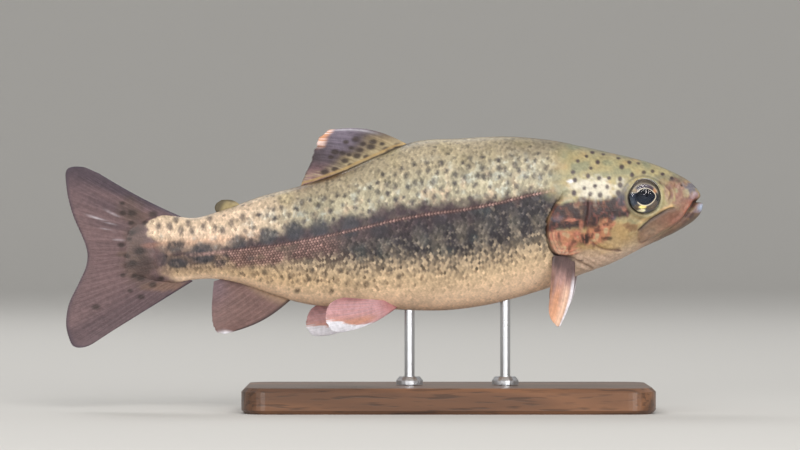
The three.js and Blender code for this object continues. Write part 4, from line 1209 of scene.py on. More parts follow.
def make_coat(name, side, roots, rng, material):
    """One piece of the coat: a closed thin lens for each scale, its free edge to the tail."""
    x, girth = roots[:, 0], roots[:, 1]
    pitch, row = table(SCALE_PITCH, x), table(ROW_PITCH, x)
    spot = flank_point(x, girth, side)
    row_ratio = table(ROW_PITCH, x - 0.4) / row
    tailward = unit(flank_point(x - 0.4, girth * row_ratio, side) - spot)
    crestward = unit(flank_point(x, girth + 0.3, side) - flank_point(x, girth - 0.3, side))
    outward = unit(np.cross(tailward, crestward)) * -side
    crestward = unit(crestward - tailward * (tailward * crestward).sum(-1, keepdims=True))
    turn = rng.normal(0, 0.05, len(x))[:, None]
    tailward, crestward = (
        tailward * np.cos(turn) + crestward * np.sin(turn),
        crestward * np.cos(turn) - tailward * np.sin(turn),
    )

    # Scales shrink and flatten towards the nape and the tail.
    depth = coat_depth(x, spot[:, 2])[:, None]
    small = 0.72 + 0.28 * smoothstep(0.3, 5, nape_x(spot[:, 2]) - x)
    small = small * (0.7 + 0.3 * smoothstep(0, 4, x - coat_end_x(spot[:, 2])))
    s, t, dome, rim = scale_lens()
    stand = rng.normal(0, 0.012, len(x))[:, None]
    rise = -depth - 0.05 + (0.75 * depth + 0.05 + stand) * (0.5 * (1 + s))[None, :]
    rise = rise + (0.35 + 0.65 * depth / COAT_DEPTH) * dome[None, :]
    local_s = (LONG_HALF * pitch * small)[:, None] * s[None, :]
    local_t = (WIDE_HALF * row * small)[:, None] * t[None, :]
    points = (
        spot[:, None, :]
        + tailward[:, None, :] * local_s[..., None]
        + crestward[:, None, :] * local_t[..., None]
        + outward[:, None, :] * rise[..., None]
    )

    tone = np.repeat(rng.random(len(x)), len(s))
    flat = points.reshape(-1, 3)
    at_girth = (girth[:, None] + local_t).ravel()
    rims = np.tile(rim, len(x))
    colour = fish_colour(flat, at_girth, np.full(len(flat), side), tone, rims)

    faces = scale_faces(len(x), len(s), side)
    centre_uv = unwrap(x, girth, np.full(len(x), side))[:, None, :]
    spread = np.stack([-s, -side * t], -1)[None] * SCALE_PATCH
    vertex_uv = (centre_uv + spread).reshape(-1, 2)
    uv = np.concatenate([vertex_uv[f.ravel()] for f in faces])
    return build(name, flat, faces, material, colour, uv, crisp=rims > 0.9)


# ---------------------------------------------------------------- fins

FACETS_PER_RAY = 12

DORSAL_SPOTS = [
    (-8.5, 26.6), (-5.8, 25.8), (-2.2, 26.5), (-4.7, 27.6), (-1.5, 28.0), (1.3, 27.2),
    (2.4, 25.5), (6.2, 26.2), (-4.0, 23.5), (-6.8, 24.0), (-9.3, 24.5), (-11.4, 25.2),
    (-13.6, 25.7), (-15.0, 24.2), (-10.7, 22.7), (-9.2, 21.3), (-14.0, 20.4), (-17.2, 19.7),
    (-10.0, 28.6), (-6.8, 29.3),
]


def streaks(u, v, count, seed):
    """Random light and dark streaks that run along the rays, from -1 to 1."""
    return noise(np.stack([u * count, v * 3, 0 * u], -1), 1.0, seed)


def paint_dorsal(u, v, ridge, p):
    x, z = p[:, 0], p[:, 2]
    fine, coarse = streaks(u, v, 80, 41), streaks(u, v, 9, 42)
    colour = blend(DORSAL_OLIVE, DORSAL_GREY, smoothstep(0.2, 0.62, v + 0.15 * coarse))
    upper = smoothstep(0.42, 0.8, v + 0.12 * coarse) * smoothstep(0.7, 0.2, u)
    colour = blend(colour, DORSAL_MAUVE, upper * 0.8)
    colour = blend(colour, DORSAL_PINK, smoothstep(0.5, 0.8, u) * smoothstep(0.1, 0.4, v) * 0.9)
    colour = blend(colour, FIN_DARK, smoothstep(0.62, 0.9, v) * bell(u - 0.42, 0.2) * 0.6)
    frayed = smoothstep(0.86, 0.93, v + 0.06 * coarse) * smoothstep(0.42, 0.25, u)
    colour = blend(colour, TIP_ORANGE, frayed * 0.9)
    colour = blend(colour, FIN_WHITE, frayed * smoothstep(0.0, 0.5, fine) * 0.4)
    colour = blend(colour, FIN_DARK, smoothstep(0.9, 1.0, v) * smoothstep(0.35, 0.5, u) * 0.8)
    colour = blend(colour, FIN_WHITE, bell(u - 0.03, 0.02) * smoothstep(0.3, 0.6, v) * 0.3)
    colour = colour * (1 + 0.16 * fine + 0.06 * ridge)[:, None]
    height = z - back(x) + 0.35 * coarse
    colour = blend(colour, SNOUT_CREAM, bell(height - 2.2, 1.2) * (0.35 + 0.3 * fine))
    colour = blend(colour, SPOT_BROWN * 0.7, small_ovals(x, z, DORSAL_SPOTS, 1.1, 0.74) * 0.9)
    strip = bell(height - 0.9, 0.42 + 0.16 * coarse)
    colour = blend(colour, DORSAL_STRIP * (1 + 0.25 * coarse)[:, None], strip * 0.9)
    return blend(colour, DORSAL_SHADOW, smoothstep(0.45, 0.1, height) * 0.9)


def paint_tail(u, v, ridge, p):
    middle = 1 - np.abs(2 * u - 1)
    colour = tail_colour(p) * (1 + 0.05 * ridge)[:, None]
    colour = blend(colour, TAIL_EDGE, smoothstep(0.1, 0.0, middle) * 0.75)
    return blend(colour, TAIL_EDGE, smoothstep(0.95, 1.0, v) * 0.6)


def paint_anal(u, v, ridge, p):
    colour = blend(ANAL_PINK, TAN_REAR, smoothstep(0.25, 0.0, v) * 0.6)
    colour = blend(colour, DORSAL_MAUVE, smoothstep(0.5, 1, u) * smoothstep(0.3, 0.8, v) * 0.4)
    colour = colour * (1 + 0.07 * streaks(u, v, 90, 45) + 0.04 * ridge)[:, None]
    colour = blend(colour, FIN_DARK, smoothstep(0.07, 0.02, u) * smoothstep(0.95, 0.8, v) * 0.8)
    return blend(colour, FIN_WHITE, smoothstep(0.86, 0.97, v) * smoothstep(0.3, 0.05, u) * 0.9)


def paint_pelvic(u, v, ridge, p):
    fine = streaks(u, v, 80, 46)
    colour = blend(PELVIC_PINK, PELVIC_ROSE, ridge * 0.35)
    warm = bell(u - 0.34 + 0.2 * (1 - v), 0.14) * smoothstep(0.2, 0.5, v)
    colour = blend(colour, TIP_ORANGE * 0.95, warm * 0.6)
    colour = blend(colour, PELVIC_RED, smoothstep(0.3, 0.0, v) * 0.75)
    colour = blend(colour, PELVIC_RED, smoothstep(0.7, 0.97, u) * smoothstep(0.3, 0.6, v) * 0.6)
    pale = smoothstep(0.06, 0.0, u - 0.42 * smoothstep(0.4, 1.0, v) + 0.04 * fine)
    colour = blend(colour, FIN_WHITE * 0.84, pale * smoothstep(0.35, 0.5, v))
    colour = colour * (1 + 0.1 * fine)[:, None]
    return blend(colour, COVER_DARK, smoothstep(0.025, 0.0, u) * smoothstep(0.75, 0.5, v) * 0.6)


def paint_pectoral(u, v, ridge, p):
    fine, coarse = streaks(u, v, 90, 47), streaks(u, v, 10, 48)
    colour = blend(PECTORAL_PINK, PECTORAL_ORANGE, smoothstep(0.4, 0.9, v + 0.2 * coarse))
    colour = blend(colour, JAW_GREY, smoothstep(0.45, 0.9, u) * smoothstep(0.9, 0.5, v) * 0.6)
    colour = blend(colour, FIN_WHITE, smoothstep(0.16, 0.06, u) * smoothstep(0.15, 0.4, v) * 0.95)
    colour = blend(colour, TIP_ORANGE * 1.15, bell(u - 0.4, 0.2) * smoothstep(0.3, 0.6, v) * 0.25)
    pale = bell(u - 0.24, 0.13) * smoothstep(0.3, 0.55, v)
    colour = blend(colour, PEACH_EDGE, pale * 0.85)
    colour = colour * (1 + 0.14 * fine)[:, None]
    # Painted shadow of the gill cover over the fin's root.
    return blend(colour, FIN_DARK, smoothstep(0.44, 0.14, v + 0.06 * coarse) * 0.85)


def paint_adipose(u, v, ridge, p):
    rim = np.maximum(smoothstep(0.5, 0.85, v), smoothstep(0.2, 0.02, u) * smoothstep(0.2, 0.6, v))
    colour = blend(ADIPOSE_YELLOW, ADIPOSE_RIM, rim * 0.8)
    return blend(colour, SPOT_BROWN, oval(p[:, 0], p[:, 2], (-48.6, 9.8), (1.2, 0.5), 0.5) * 0.7)


PAINTERS = dict(
    dorsal=paint_dorsal, adipose=paint_adipose, anal=paint_anal, tail=paint_tail,
    pelvic=paint_pelvic, pectoral=paint_pectoral,
)


def turn_matrix(axis, degrees):
    a, b = [(1, 2), (2, 0), (0, 1)][axis]
    matrix = np.eye(3)
    c, s = math.cos(math.radians(degrees)), math.sin(math.radians(degrees))
    matrix[a, a], matrix[a, b], matrix[b, a], matrix[b, b] = c, -s, s, c
    return matrix


def hinge(points, side, root, lean, swing, droop):
    """Hangs a paired fin: drooped in its own plane, swung out, and leaned off the flank."""
    turned = turn_matrix(0, side * lean) @ turn_matrix(2, -side * swing) @ turn_matrix(1, -droop)
    return points @ turned.T + np.array([root[0], side * root[1], root[2]])


def make_fin(name, kind, material, fold=None):
    """A fin as a fan of forking rays with thin webs between them."""
    spec = FINS[kind]
    fleshy = kind == "adipose"
    across = spec["rays"] * FACETS_PER_RAY
    out = 90 if kind in ("tail", "dorsal") else 60
    u, v = np.meshgrid(np.linspace(0, 1, across + 1), np.linspace(0, 1, out + 1), indexing="ij")
    phase = np.abs(u * spec["rays"] - np.round(u * spec["rays"]))
    phase = np.abs(phase - 0.25 * smoothstep(0.3, 1.0, v))
    phase = np.abs(phase - 0.12 * smoothstep(0.62, 1.0, v))
    ridge = np.zeros_like(u) if fleshy else bell(phase, 0.13 - 0.055 * smoothstep(0.3, 1, v))

    tip_ridge = ridge[:, -1:]
    edge_points = np.stack([u[:, 0] * 40, u[:, 0] * 0, u[:, 0] * 0], -1)
    torn = 0.5 + 0.5 * noise(edge_points, 2.0, 31)[:, None]
    full = 1 - spec["ragged"] * (0.65 * (1 - tip_ridge) + 0.7 * torn)
    foot, tip = spline(spec["base"])(u), spline(spec["margin"])(u)
    ray = tip - foot
    sideways = np.stack([ray[..., 1], -ray[..., 0]], -1)
    sideways /= np.linalg.norm(sideways, axis=-1, keepdims=True)
    grown = v * full
    bow = spec["arch"] * (1 - u) ** 1.5 * np.sin(math.pi * grown)
    flat = foot + ray * grown[..., None] + sideways * bow[..., None]

    inner = np.minimum(np.minimum(u, 1 - u) * spec["rays"] * 1.4, 1)
    rounding = np.sqrt(np.clip(inner, 0, 1)) * np.sqrt(np.clip((1 - v) * 14, 0, 1))
    thickness = 0.16 + 0.09 * ridge * (1 - 0.5 * v) + 0.9 * bell(v, 0.26)
    if fleshy:
        thickness = 1.5 - 0.7 * v
    thickness = 0.05 + thickness * (0.25 + 0.75 * rounding)
    ripple = 0.35 * np.sin(u * 9 + v * 2.2) * v ** 1.5 * (0 if fleshy else 1)
    sheets = []
    for face in (-1, 1):
        y = ripple + face * thickness / 2
        sheets.append(np.stack([flat[..., 0], y, flat[..., 1]], -1).reshape(-1, 3))
    shape = np.concatenate(sheets)
    points = hinge(shape, **fold) if fold else shape

    rows, columns = u.shape
    count = rows * columns
    front = grid_quads(rows, columns)
    rear = grid_quads(rows, columns, count)[:, ::-1]
    border = np.concatenate([
        np.arange(columns - 1),
        np.arange(rows - 1) * columns + columns - 1,
        (rows - 1) * columns + np.arange(columns - 1, 0, -1),
        np.arange(rows - 1, 0, -1) * columns,
    ])
    after = np.roll(border, -1)
    rim = np.stack([border, border + count, after + count, after], -1)
    paint_points = np.tile(np.stack([flat[..., 0], 0 * u, flat[..., 1]], -1).reshape(-1, 3), (2, 1))
    twice = [np.tile(a.ravel(), 2) for a in (u, v, ridge)]
    colour = PAINTERS[kind](*twice, paint_points)
    web = (1 - twice[2]) * smoothstep(0.08, 0.4, twice[1])
    piece = build(name, points, [front, rear, rim], material, colour, None, [("web", web)])
    fix_winding(piece)
    return piece


def fix_winding(piece):
    """Turns a closed piece's faces outwards."""
    mesh = piece.data
    co = np.empty(len(mesh.vertices) * 3, np.float32)
    mesh.vertices.foreach_get("co", co)
    co = co.reshape(-1, 3).astype(float)
    corners = np.empty(len(mesh.polygons) * 4, np.int32)
    mesh.loops.foreach_get("vertex_index", corners)
    a, b, c, d = (co[corners.reshape(-1, 4)[:, i]] for i in range(4))
    volume = (a * np.cross(b, c)).sum() + (a * np.cross(c, d)).sum()
    if volume < 0:
        mesh.flip_normals()


# ---------------------------------------------------------------- eyes

IRIS_RINGS, IRIS_SPOKES = 56, 144
PUPIL_RADIUS = 2.55
PUPIL_LENGTH = 1.12                # of its long way, towards the snout, as a share of its height
PUPIL_FORWARD, PUPIL_UP = -0.33, -0.31
OPENING_FORWARD, OPENING_UP = -0.25, -0.7

IRIS_GREY = paint(92, 94, 102)
IRIS_SLATE = paint(54, 62, 78)
IRIS_LAKE = paint(84, 92, 104)
IRIS_DARK = paint(24, 22, 26)
IRIS_OLIVE = paint(72, 66, 44)
IRIS_PURPLE = paint(66, 52, 64)
IRIS_BROWN = paint(104, 90, 76)
IRIS_TAN = paint(160, 140, 112)
IRIS_GOLD = paint(255, 236, 150)
IRIS_CREAM = paint(255, 244, 206)
IRIS_ORANGE = paint(186, 130, 84)
IRIS_ARC = paint(196, 186, 166)
IRIS_RING = paint(250, 240, 216)
PUPIL_BLACK = paint(2, 8, 20)
PUPIL_NAVY = paint(22, 30, 46)
IRIS_PATCHES = [                 # forward, up from the pupil, half sizes, colour, strength
    (0.3, 3.3, 3.4, 0.85, IRIS_PURPLE, 0.6), (2.1, 2.6, 1.1, 0.8, IRIS_PURPLE, 0.9),
    (-2.9, 3.4, 1.2, 0.6, IRIS_SLATE, 0.6), (-3.6, 2.2, 1.2, 0.7, IRIS_TAN, 0.9),
    (-3.8, -0.5, 2.0, 2.0, IRIS_SLATE, 1.0), (-4.6, -1.2, 0.9, 1.5, IRIS_LAKE, 0.8),
    (3.5, 1.8, 0.7, 0.9, IRIS_ORANGE, 1.0), (3.9, -0.3, 0.8, 1.5, IRIS_DARK, 0.8),
    (3.0, -2.2, 0.9, 0.9, IRIS_BROWN, 0.8), (1.8, -3.4, 1.5, 0.8, IRIS_BROWN, 0.9),
    (-2.8, -3.0, 0.8, 0.8, IRIS_BROWN, 0.9), (-1.0, -3.5, 2.2, 0.8, IRIS_BROWN, 0.7),
    (-0.9, -3.1, 1.2, 0.5, IRIS_GOLD, 1.1), (-1.2, -4.25, 1.2, 0.45, IRIS_CREAM, 1.1),
]


def eye_frame(side):
    """Middle of an eye, and its ways forward, out and up."""
    angles = np.linspace(0, math.pi, 2000)
    section = skin_point(np.full(2000, EYE_X), angles)
    width = np.interp(-EYE_Z, -section[:, 2], -section[:, 1])
    centre = np.array([EYE_X, side * (width - EYE_SUNK), EYE_Z])
    turned = turn_matrix(2, math.degrees(-side * EYE_TURN))
    return centre, turned @ [1, 0, 0], turned @ [0, side, 0], np.array([0, 0, 1.0])


def eye_points(side, radius, angle, out):
    centre, forward, outward, up = eye_frame(side)
    return (
        centre
        + forward * (radius * np.cos(angle))[..., None]
        + up * (radius * np.sin(angle))[..., None]
        + outward * out[..., None]
    )


def disc_faces(rings, spokes):
    """Faces of a disc of rings round a middle point, which is the last vertex."""
    quads = grid_quads(rings, spokes, wrap=True)
    ring = np.arange(spokes)
    fan = np.stack([np.full(spokes, rings * spokes), ring, (ring + 1) % spokes], -1)
    return quads, fan


def make_iris(name, side, material):
    """The ball of an eye with its pupil and coloured iris, closed at the back."""
    share = (np.arange(IRIS_RINGS) + 1) / IRIS_RINGS
    radius = np.broadcast_to((share * (EYE_RADIUS - 0.15))[:, None], (IRIS_RINGS, IRIS_SPOKES))
    angle = np.broadcast_to(
        (np.arange(IRIS_SPOKES) * 2 * math.pi / IRIS_SPOKES)[None, :], radius.shape
    )
    # The pupil is round with a point in front, a little behind the middle of the ball.
    px, pz = radius * np.cos(angle) - PUPIL_FORWARD, radius * np.sin(angle) - PUPIL_UP
    point = 0.42 * bell(np.arctan2(pz, px), 0.42)
    from_pupil = np.hypot(px / PUPIL_LENGTH, pz) - (PUPIL_RADIUS + point)
    dome = EYE_DEPTH * np.sqrt(np.clip(1 - (radius / EYE_RADIUS) ** 2, 0, 1))
    out = 0.74 * dome - 0.10 * smoothstep(0.0, 0.35, from_pupil) * smoothstep(1.6, 0.5, from_pupil)
    out = out + 0.1 * smoothstep(0.1, -0.6, from_pupil)

    px, pz, near = px.ravel(), pz.ravel(), from_pupil.ravel()
    r, a = np.hypot(px, pz), np.degrees(np.arctan2(pz, px))
    rim = np.hypot(px + PUPIL_FORWARD - OPENING_FORWARD, pz + PUPIL_UP - OPENING_UP)
    grain = noise(np.stack([a / 9, r * 2.2, r * 0], -1), 1.0, 40)
    speckle = noise(np.stack([px, pz, r * 0], -1), 0.45, 39)

    def turned_from(middle):
        return np.abs((a - middle + 180) % 360 - 180)

    def sector(middle, width):
        return bell(turned_from(middle), width)

    colour = lay_patches(np.tile(IRIS_GREY, (len(r), 1)), px, pz, IRIS_PATCHES, 0.4, 0.12 * speckle)
    arc = bell(r - 4.35, 0.32) * smoothstep(0, 25, a) * smoothstep(155, 125, a)
    colour = blend(colour, IRIS_ARC, arc * 0.85)
    colour = blend(colour, IRIS_ARC, bell(pz - 1.5, 0.14) * smoothstep(-2.5, -3.0, px) * 0.7)
    colour = blend(colour, IRIS_ARC, sector(-145, 12) * bell(r - 5.0, 0.22) * 0.6)
    colour = blend(colour, colour * 1.35, smoothstep(0.2, 0.9, grain) * 0.5)
    colour = blend(colour, IRIS_OLIVE, smoothstep(4.2, 4.7, rim) * sector(30, 90) * 0.85)
    colour = blend(colour, IRIS_DARK, smoothstep(4.55, 4.95, rim) * (0.85 - 0.4 * sector(20, 70)))
    colour = blend(colour, IRIS_BROWN, smoothstep(4.3, 4.7, rim) * sector(85, 42) * 0.6)
    opened = smoothstep(20, 38, turned_from(180))
    lower = sector(-75, 60)
    colour = blend(colour, IRIS_RING, bell(near - 0.13, 0.1 + 0.1 * lower) * opened)
    lobe = smoothstep(0.6, 0.1, near) * (1 - opened)
    colour = blend(colour, PUPIL_NAVY, lobe)
    pupil = smoothstep(0.08, -0.04, near)
    colour = blend(colour, blend(PUPIL_BLACK, PUPIL_NAVY, smoothstep(1.8, -1.2, pz)), pupil)

    front = eye_points(side, radius, angle, out).reshape(-1, 3)
    middle = eye_points(side, np.array([0.0]), np.array([0.0]), np.array([0.84 * EYE_DEPTH]))
    behind = eye_points(side, np.array([0.0]), np.array([0.0]), np.array([-EYE_DEPTH]))
    points = np.concatenate([front, middle, behind])
    quads, fan = disc_faces(IRIS_RINGS, IRIS_SPOKES)
    last = (IRIS_RINGS - 1) * IRIS_SPOKES + np.arange(IRIS_SPOKES)
    backing = np.stack([np.full(IRIS_SPOKES, len(front) + 1),
                        np.roll(last, -1), last], -1)
    faces = [quads[:, ::-1], fan[:, ::-1], backing[:, ::-1]]
    if side < 0:
        faces = [f[:, ::-1] for f in faces]
    colour = np.concatenate([colour, [PUPIL_BLACK], [IRIS_DARK]])
    return build(name, points, faces, material, colour, None,
                 [("pupil", np.concatenate([pupil, [1, 0]]))])


def make_cornea(name, side, material):
    """The clear shell over an eye, a thin closed dome."""
    rings, spokes, wall = 26, 72, 0.12
    share = np.sin((np.arange(rings) + 1) / rings * math.pi / 2)
    angle = np.broadcast_to((np.arange(spokes) * 2 * math.pi / spokes)[None, :], (rings, spokes))
    shells = []
    for inset in (0, wall):
        radius = np.broadcast_to((share * (EYE_RADIUS - 0.02 - inset))[:, None], angle.shape)
        dome = (EYE_DEPTH - inset) * np.sqrt(np.clip(1 - (radius / (EYE_RADIUS - inset)) ** 2, 0, 1))
        middle = eye_points(side, np.array([0.0]), np.array([0.0]), np.array([EYE_DEPTH - inset]))
        shells.append(np.concatenate([eye_points(side, radius, angle, dome).reshape(-1, 3), middle]))
    points = np.concatenate(shells)
    count = rings * spokes + 1
    quads, fan = disc_faces(rings, spokes)
    last = (rings - 1) * spokes + np.arange(spokes)
    after = np.roll(last, -1)
    rim = np.stack([last, after, after + count, last + count], -1)
    faces = [quads[:, ::-1], fan[:, ::-1], (quads + count), (fan + count), rim[:, ::-1]]
    if side < 0:
        faces = [f[:, ::-1] for f in faces]
    return build(name, points, faces, material)


# ---------------------------------------------------------------- materials

WET_ROUGHNESS = 0.46


def new_material(name):
    material = bpy.data.materials.new(name)
    material.use_nodes = True
    return material, material.node_tree.nodes, material.node_tree.links


def new_group(name, inputs, outputs):
    """An empty shader node group with named sockets: (name, kind, default)."""
    group = bpy.data.node_groups.new(name, "ShaderNodeTree")
    for label, kind, default in inputs:
        socket = group.interface.new_socket(label, in_out="INPUT", socket_type=kind)
        if default is not None:
            socket.default_value = default
    for label, kind in outputs:
        group.interface.new_socket(label, in_out="OUTPUT", socket_type=kind)
    start = group.nodes.new("NodeGroupInput")
    end = group.nodes.new("NodeGroupOutput")
    return group, start, end


def set_inputs(node, values):
    for label, value in values.items():
        node.inputs[label].default_value = value


def read_attribute(nodes, label):
    """A node that reads what the mesh carries at its points."""
    node = nodes.new("ShaderNodeAttribute")
    node.attribute_name = label
    return node


def map_range(nodes, links, value, ends):
    """A value stretched between ends, which are 0 and 1 where they aren't named."""
    node = nodes.new("ShaderNodeMapRange")
    set_inputs(node, ends)
    links.new(value, node.inputs["Value"])
    return node.outputs["Result"]


def noise_texture(nodes, links, where, values):
    node = nodes.new("ShaderNodeTexNoise")
    set_inputs(node, values)
    links.new(where, node.inputs["Vector"])
    return node


def scaled_colour(nodes, links, colour, amount):
    """A colour times a value."""
    node = nodes.new("ShaderNodeVectorMath")
    node.operation = "SCALE"
    links.new(colour, node.inputs[0])
    links.new(amount, node.inputs["Scale"])
    return node.outputs["Vector"]


def mottle_group():
    """Darkens and lightens a colour in small soft lumps, as pigment cells do."""
    group, start, end = new_group(
        "pigment_mottle",
        [("Color", "NodeSocketColor", None), ("Size", "NodeSocketFloat", 900.0),
         ("Strength", "NodeSocketFloat", 0.2)],
        [("Color", "NodeSocketColor"), ("Mask", "NodeSocketFloat")],
    )
    nodes, links = group.nodes, group.links
    where = nodes.new("ShaderNodeTexCoord").outputs["Object"]
    cells = noise_texture(nodes, links, where, {"Detail": 3})
    links.new(start.outputs["Size"], cells.inputs["Scale"])
    spread = map_range(nodes, links, cells.outputs["Fac"],
                       {"From Min": 0.3, "From Max": 0.7, "To Min": -1})
    amount = nodes.new("ShaderNodeMath")
    amount.operation = "MULTIPLY_ADD"
    amount.inputs[2].default_value = 1
    links.new(spread, amount.inputs[0])
    links.new(start.outputs["Strength"], amount.inputs[1])
    mottled = scaled_colour(nodes, links, start.outputs["Color"], amount.outputs["Value"])
    links.new(mottled, end.inputs["Color"])
    links.new(cells.outputs["Fac"], end.inputs["Mask"])
    return group


def grain_group():
    """A fine uneven skin: a height for bump, from noise and from cells."""
    group, start, end = new_group(
        "skin_grain",
        [("Size", "NodeSocketFloat", 1500.0)],
        [("Height", "NodeSocketFloat")],
    )
    nodes, links = group.nodes, group.links
    where = nodes.new("ShaderNodeTexCoord").outputs["Object"]
    coarse = noise_texture(nodes, links, where, {"Detail": 2})
    cells = nodes.new("ShaderNodeTexVoronoi")
    links.new(where, cells.inputs["Vector"])
    for texture in (coarse, cells):
        links.new(start.outputs["Size"], texture.inputs["Scale"])
    add = nodes.new("ShaderNodeMath")
    links.new(coarse.outputs["Fac"], add.inputs[0])
    links.new(cells.outputs["Distance"], add.inputs[1])
    links.new(add.outputs["Value"], end.inputs["Height"])
    return group


def use_group(nodes, group, **values):
    node = nodes.new("ShaderNodeGroup")
    node.node_tree = group
    set_inputs(node, values)
    return node


def painted(nodes, links, mottle, size, strength):
    """The tint that the mesh carries, mottled: a node with a colour and a mask."""
    pigment = use_group(nodes, mottle, Size=size, Strength=strength)
    links.new(read_attribute(nodes, "tint").outputs["Color"], pigment.inputs["Color"])
    return pigment


def add_bump(nodes, links, shader, height, strength, distance):
    bump = nodes.new("ShaderNodeBump")
    set_inputs(bump, {"Strength": strength, "Distance": distance})
    links.new(height, bump.inputs["Height"])
    links.new(bump.outputs["Normal"], shader.inputs["Normal"])


def flesh_material(name, mottle, grain, size, strength, bump, gloss):
    """Skin or scales: the painted tint, mottled, under a thin wet film."""
    material, nodes, links = new_material(name)
    shader = nodes["Principled BSDF"]
    pigment = painted(nodes, links, mottle, size, strength)
    links.new(pigment.outputs["Color"], shader.inputs["Base Color"])
    wet = map_range(nodes, links, pigment.outputs["Mask"],
                    {"To Min": WET_ROUGHNESS - 0.1, "To Max": WET_ROUGHNESS + 0.1})
    links.new(wet, shader.inputs["Roughness"])
    set_inputs(shader, {
        "Specular IOR Level": gloss, "Coat Weight": 0.25 * gloss, "Coat Roughness": 0.25,
    })
    skin = use_group(nodes, grain, Size=size * 1.6)
    add_bump(nodes, links, shader, skin.outputs["Height"], bump, 0.0002)
    return material


def fin_material(mottle, grain):
    """Thin fins: some light passes through the webs between the rays."""
    material, nodes, links = new_material("fin_web")
    shader = nodes["Principled BSDF"]
    pigment = painted(nodes, links, mottle, 700.0, 0.16)
    links.new(pigment.outputs["Color"], shader.inputs["Base Color"])
    set_inputs(shader, {
        "Roughness": 0.5, "Specular IOR Level": 0.3, "Coat Weight": 0.08, "Coat Roughness": 0.25,
    })
    skin = use_group(nodes, grain, Size=1800.0)
    add_bump(nodes, links, shader, skin.outputs["Height"], 0.35, 0.0001)
    through = nodes.new("ShaderNodeBsdfTranslucent")
    links.new(pigment.outputs["Color"], through.inputs["Color"])
    share = nodes.new("ShaderNodeMath")
    share.operation = "MULTIPLY"
    share.inputs[1].default_value = 0.16
    links.new(read_attribute(nodes, "web").outputs["Fac"], share.inputs[0])
    mix = nodes.new("ShaderNodeMixShader")
    links.new(share.outputs["Value"], mix.inputs["Fac"])
    links.new(shader.outputs["BSDF"], mix.inputs[1])
    links.new(through.outputs["BSDF"], mix.inputs[2])
    links.new(mix.outputs["Shader"], nodes["Material Output"].inputs["Surface"])
    return material


def iris_material():
    """A faintly metallic iris round a matt pupil."""
    material, nodes, links = new_material("eye_iris")
    shader = nodes["Principled BSDF"]
    links.new(read_attribute(nodes, "tint").outputs["Color"], shader.inputs["Base Color"])
    metal = map_range(nodes, links, read_attribute(nodes, "pupil").outputs["Fac"],
                      {"To Min": 0.2, "To Max": 0.0})
    links.new(metal, shader.inputs["Metallic"])
    set_inputs(shader, {"Roughness": 0.4, "Specular IOR Level": 0.12})
    return material


def cornea_material():
    material, nodes, _ = new_material("eye_cornea")
    set_inputs(nodes["Principled BSDF"], {
        "Base Color": (1, 1, 1, 1), "Transmission Weight": 1.0, "Roughness": 0.02, "IOR": 1.16,
    })
    return material


def stretched_place(nodes, links, scale):
    """Object coordinates, scaled so that a texture runs long one way."""
    where = nodes.new("ShaderNodeTexCoord")
    stretch = nodes.new("ShaderNodeMapping")
    stretch.inputs["Scale"].default_value = scale
    links.new(where.outputs["Object"], stretch.inputs["Vector"])
    return stretch.outputs["Vector"]


def walnut_material():
    """Oiled walnut: long figure along the base with fine pores."""
    material, nodes, links = new_material("walnut_base")
    shader = nodes["Principled BSDF"]
    place_of = stretched_place(nodes, links, (6, 60, 60))
    figure = noise_texture(nodes, links, place_of, {"Scale": 1.6, "Detail": 6, "Distortion": 1.4})
    ramp = nodes.new("ShaderNodeValToRGB")
    for end, position, tone in zip(
        ramp.color_ramp.elements, (0.3, 0.72), (paint(58, 36, 24), paint(122, 82, 54))
    ):
        end.position = position
        end.color = (*tone, 1)
    links.new(figure.outputs["Fac"], ramp.inputs["Fac"])
    pores = noise_texture(nodes, links, place_of, {"Scale": 14, "Detail": 2})
    dark = map_range(nodes, links, pores.outputs["Fac"],
                     {"From Min": 0.36, "From Max": 0.46, "To Min": 0.55})
    grained = scaled_colour(nodes, links, ramp.outputs["Color"], dark)
    links.new(grained, shader.inputs["Base Color"])
    set_inputs(shader, {"Roughness": 0.38, "Coat Weight": 0.3, "Coat Roughness": 0.2})
    add_bump(nodes, links, shader, dark, 0.25, 0.0002)
    return material


def steel_material():
    """Brushed steel, its scratches running round the rods."""
    material, nodes, links = new_material("brushed_steel")
    shader = nodes["Principled BSDF"]
    place_of = stretched_place(nodes, links, (120, 120, 2600))
    scratches = noise_texture(nodes, links, place_of, {"Scale": 1.0, "Detail": 4})
    rough = map_range(nodes, links, scratches.outputs["Fac"], {"To Min": 0.2, "To Max": 0.42})
    links.new(rough, shader.inputs["Roughness"])
    set_inputs(shader, {"Base Color": (*paint(196, 198, 202), 1), "Metallic": 1.0})
    add_bump(nodes, links, shader, scratches.outputs["Fac"], 0.15, 0.0001)
    return material


# ---------------------------------------------------------------- studio

FLOOR_RADIUS, WALL_RADIUS, WALL_HEIGHT = 2.6, 4.0, 2.2
WALL_SIDES = 96
FISH_MIDDLE = (0.0, 0.0, 0.055)
CAMERA_PLACE = (0.005, -1.394, 0.0582)


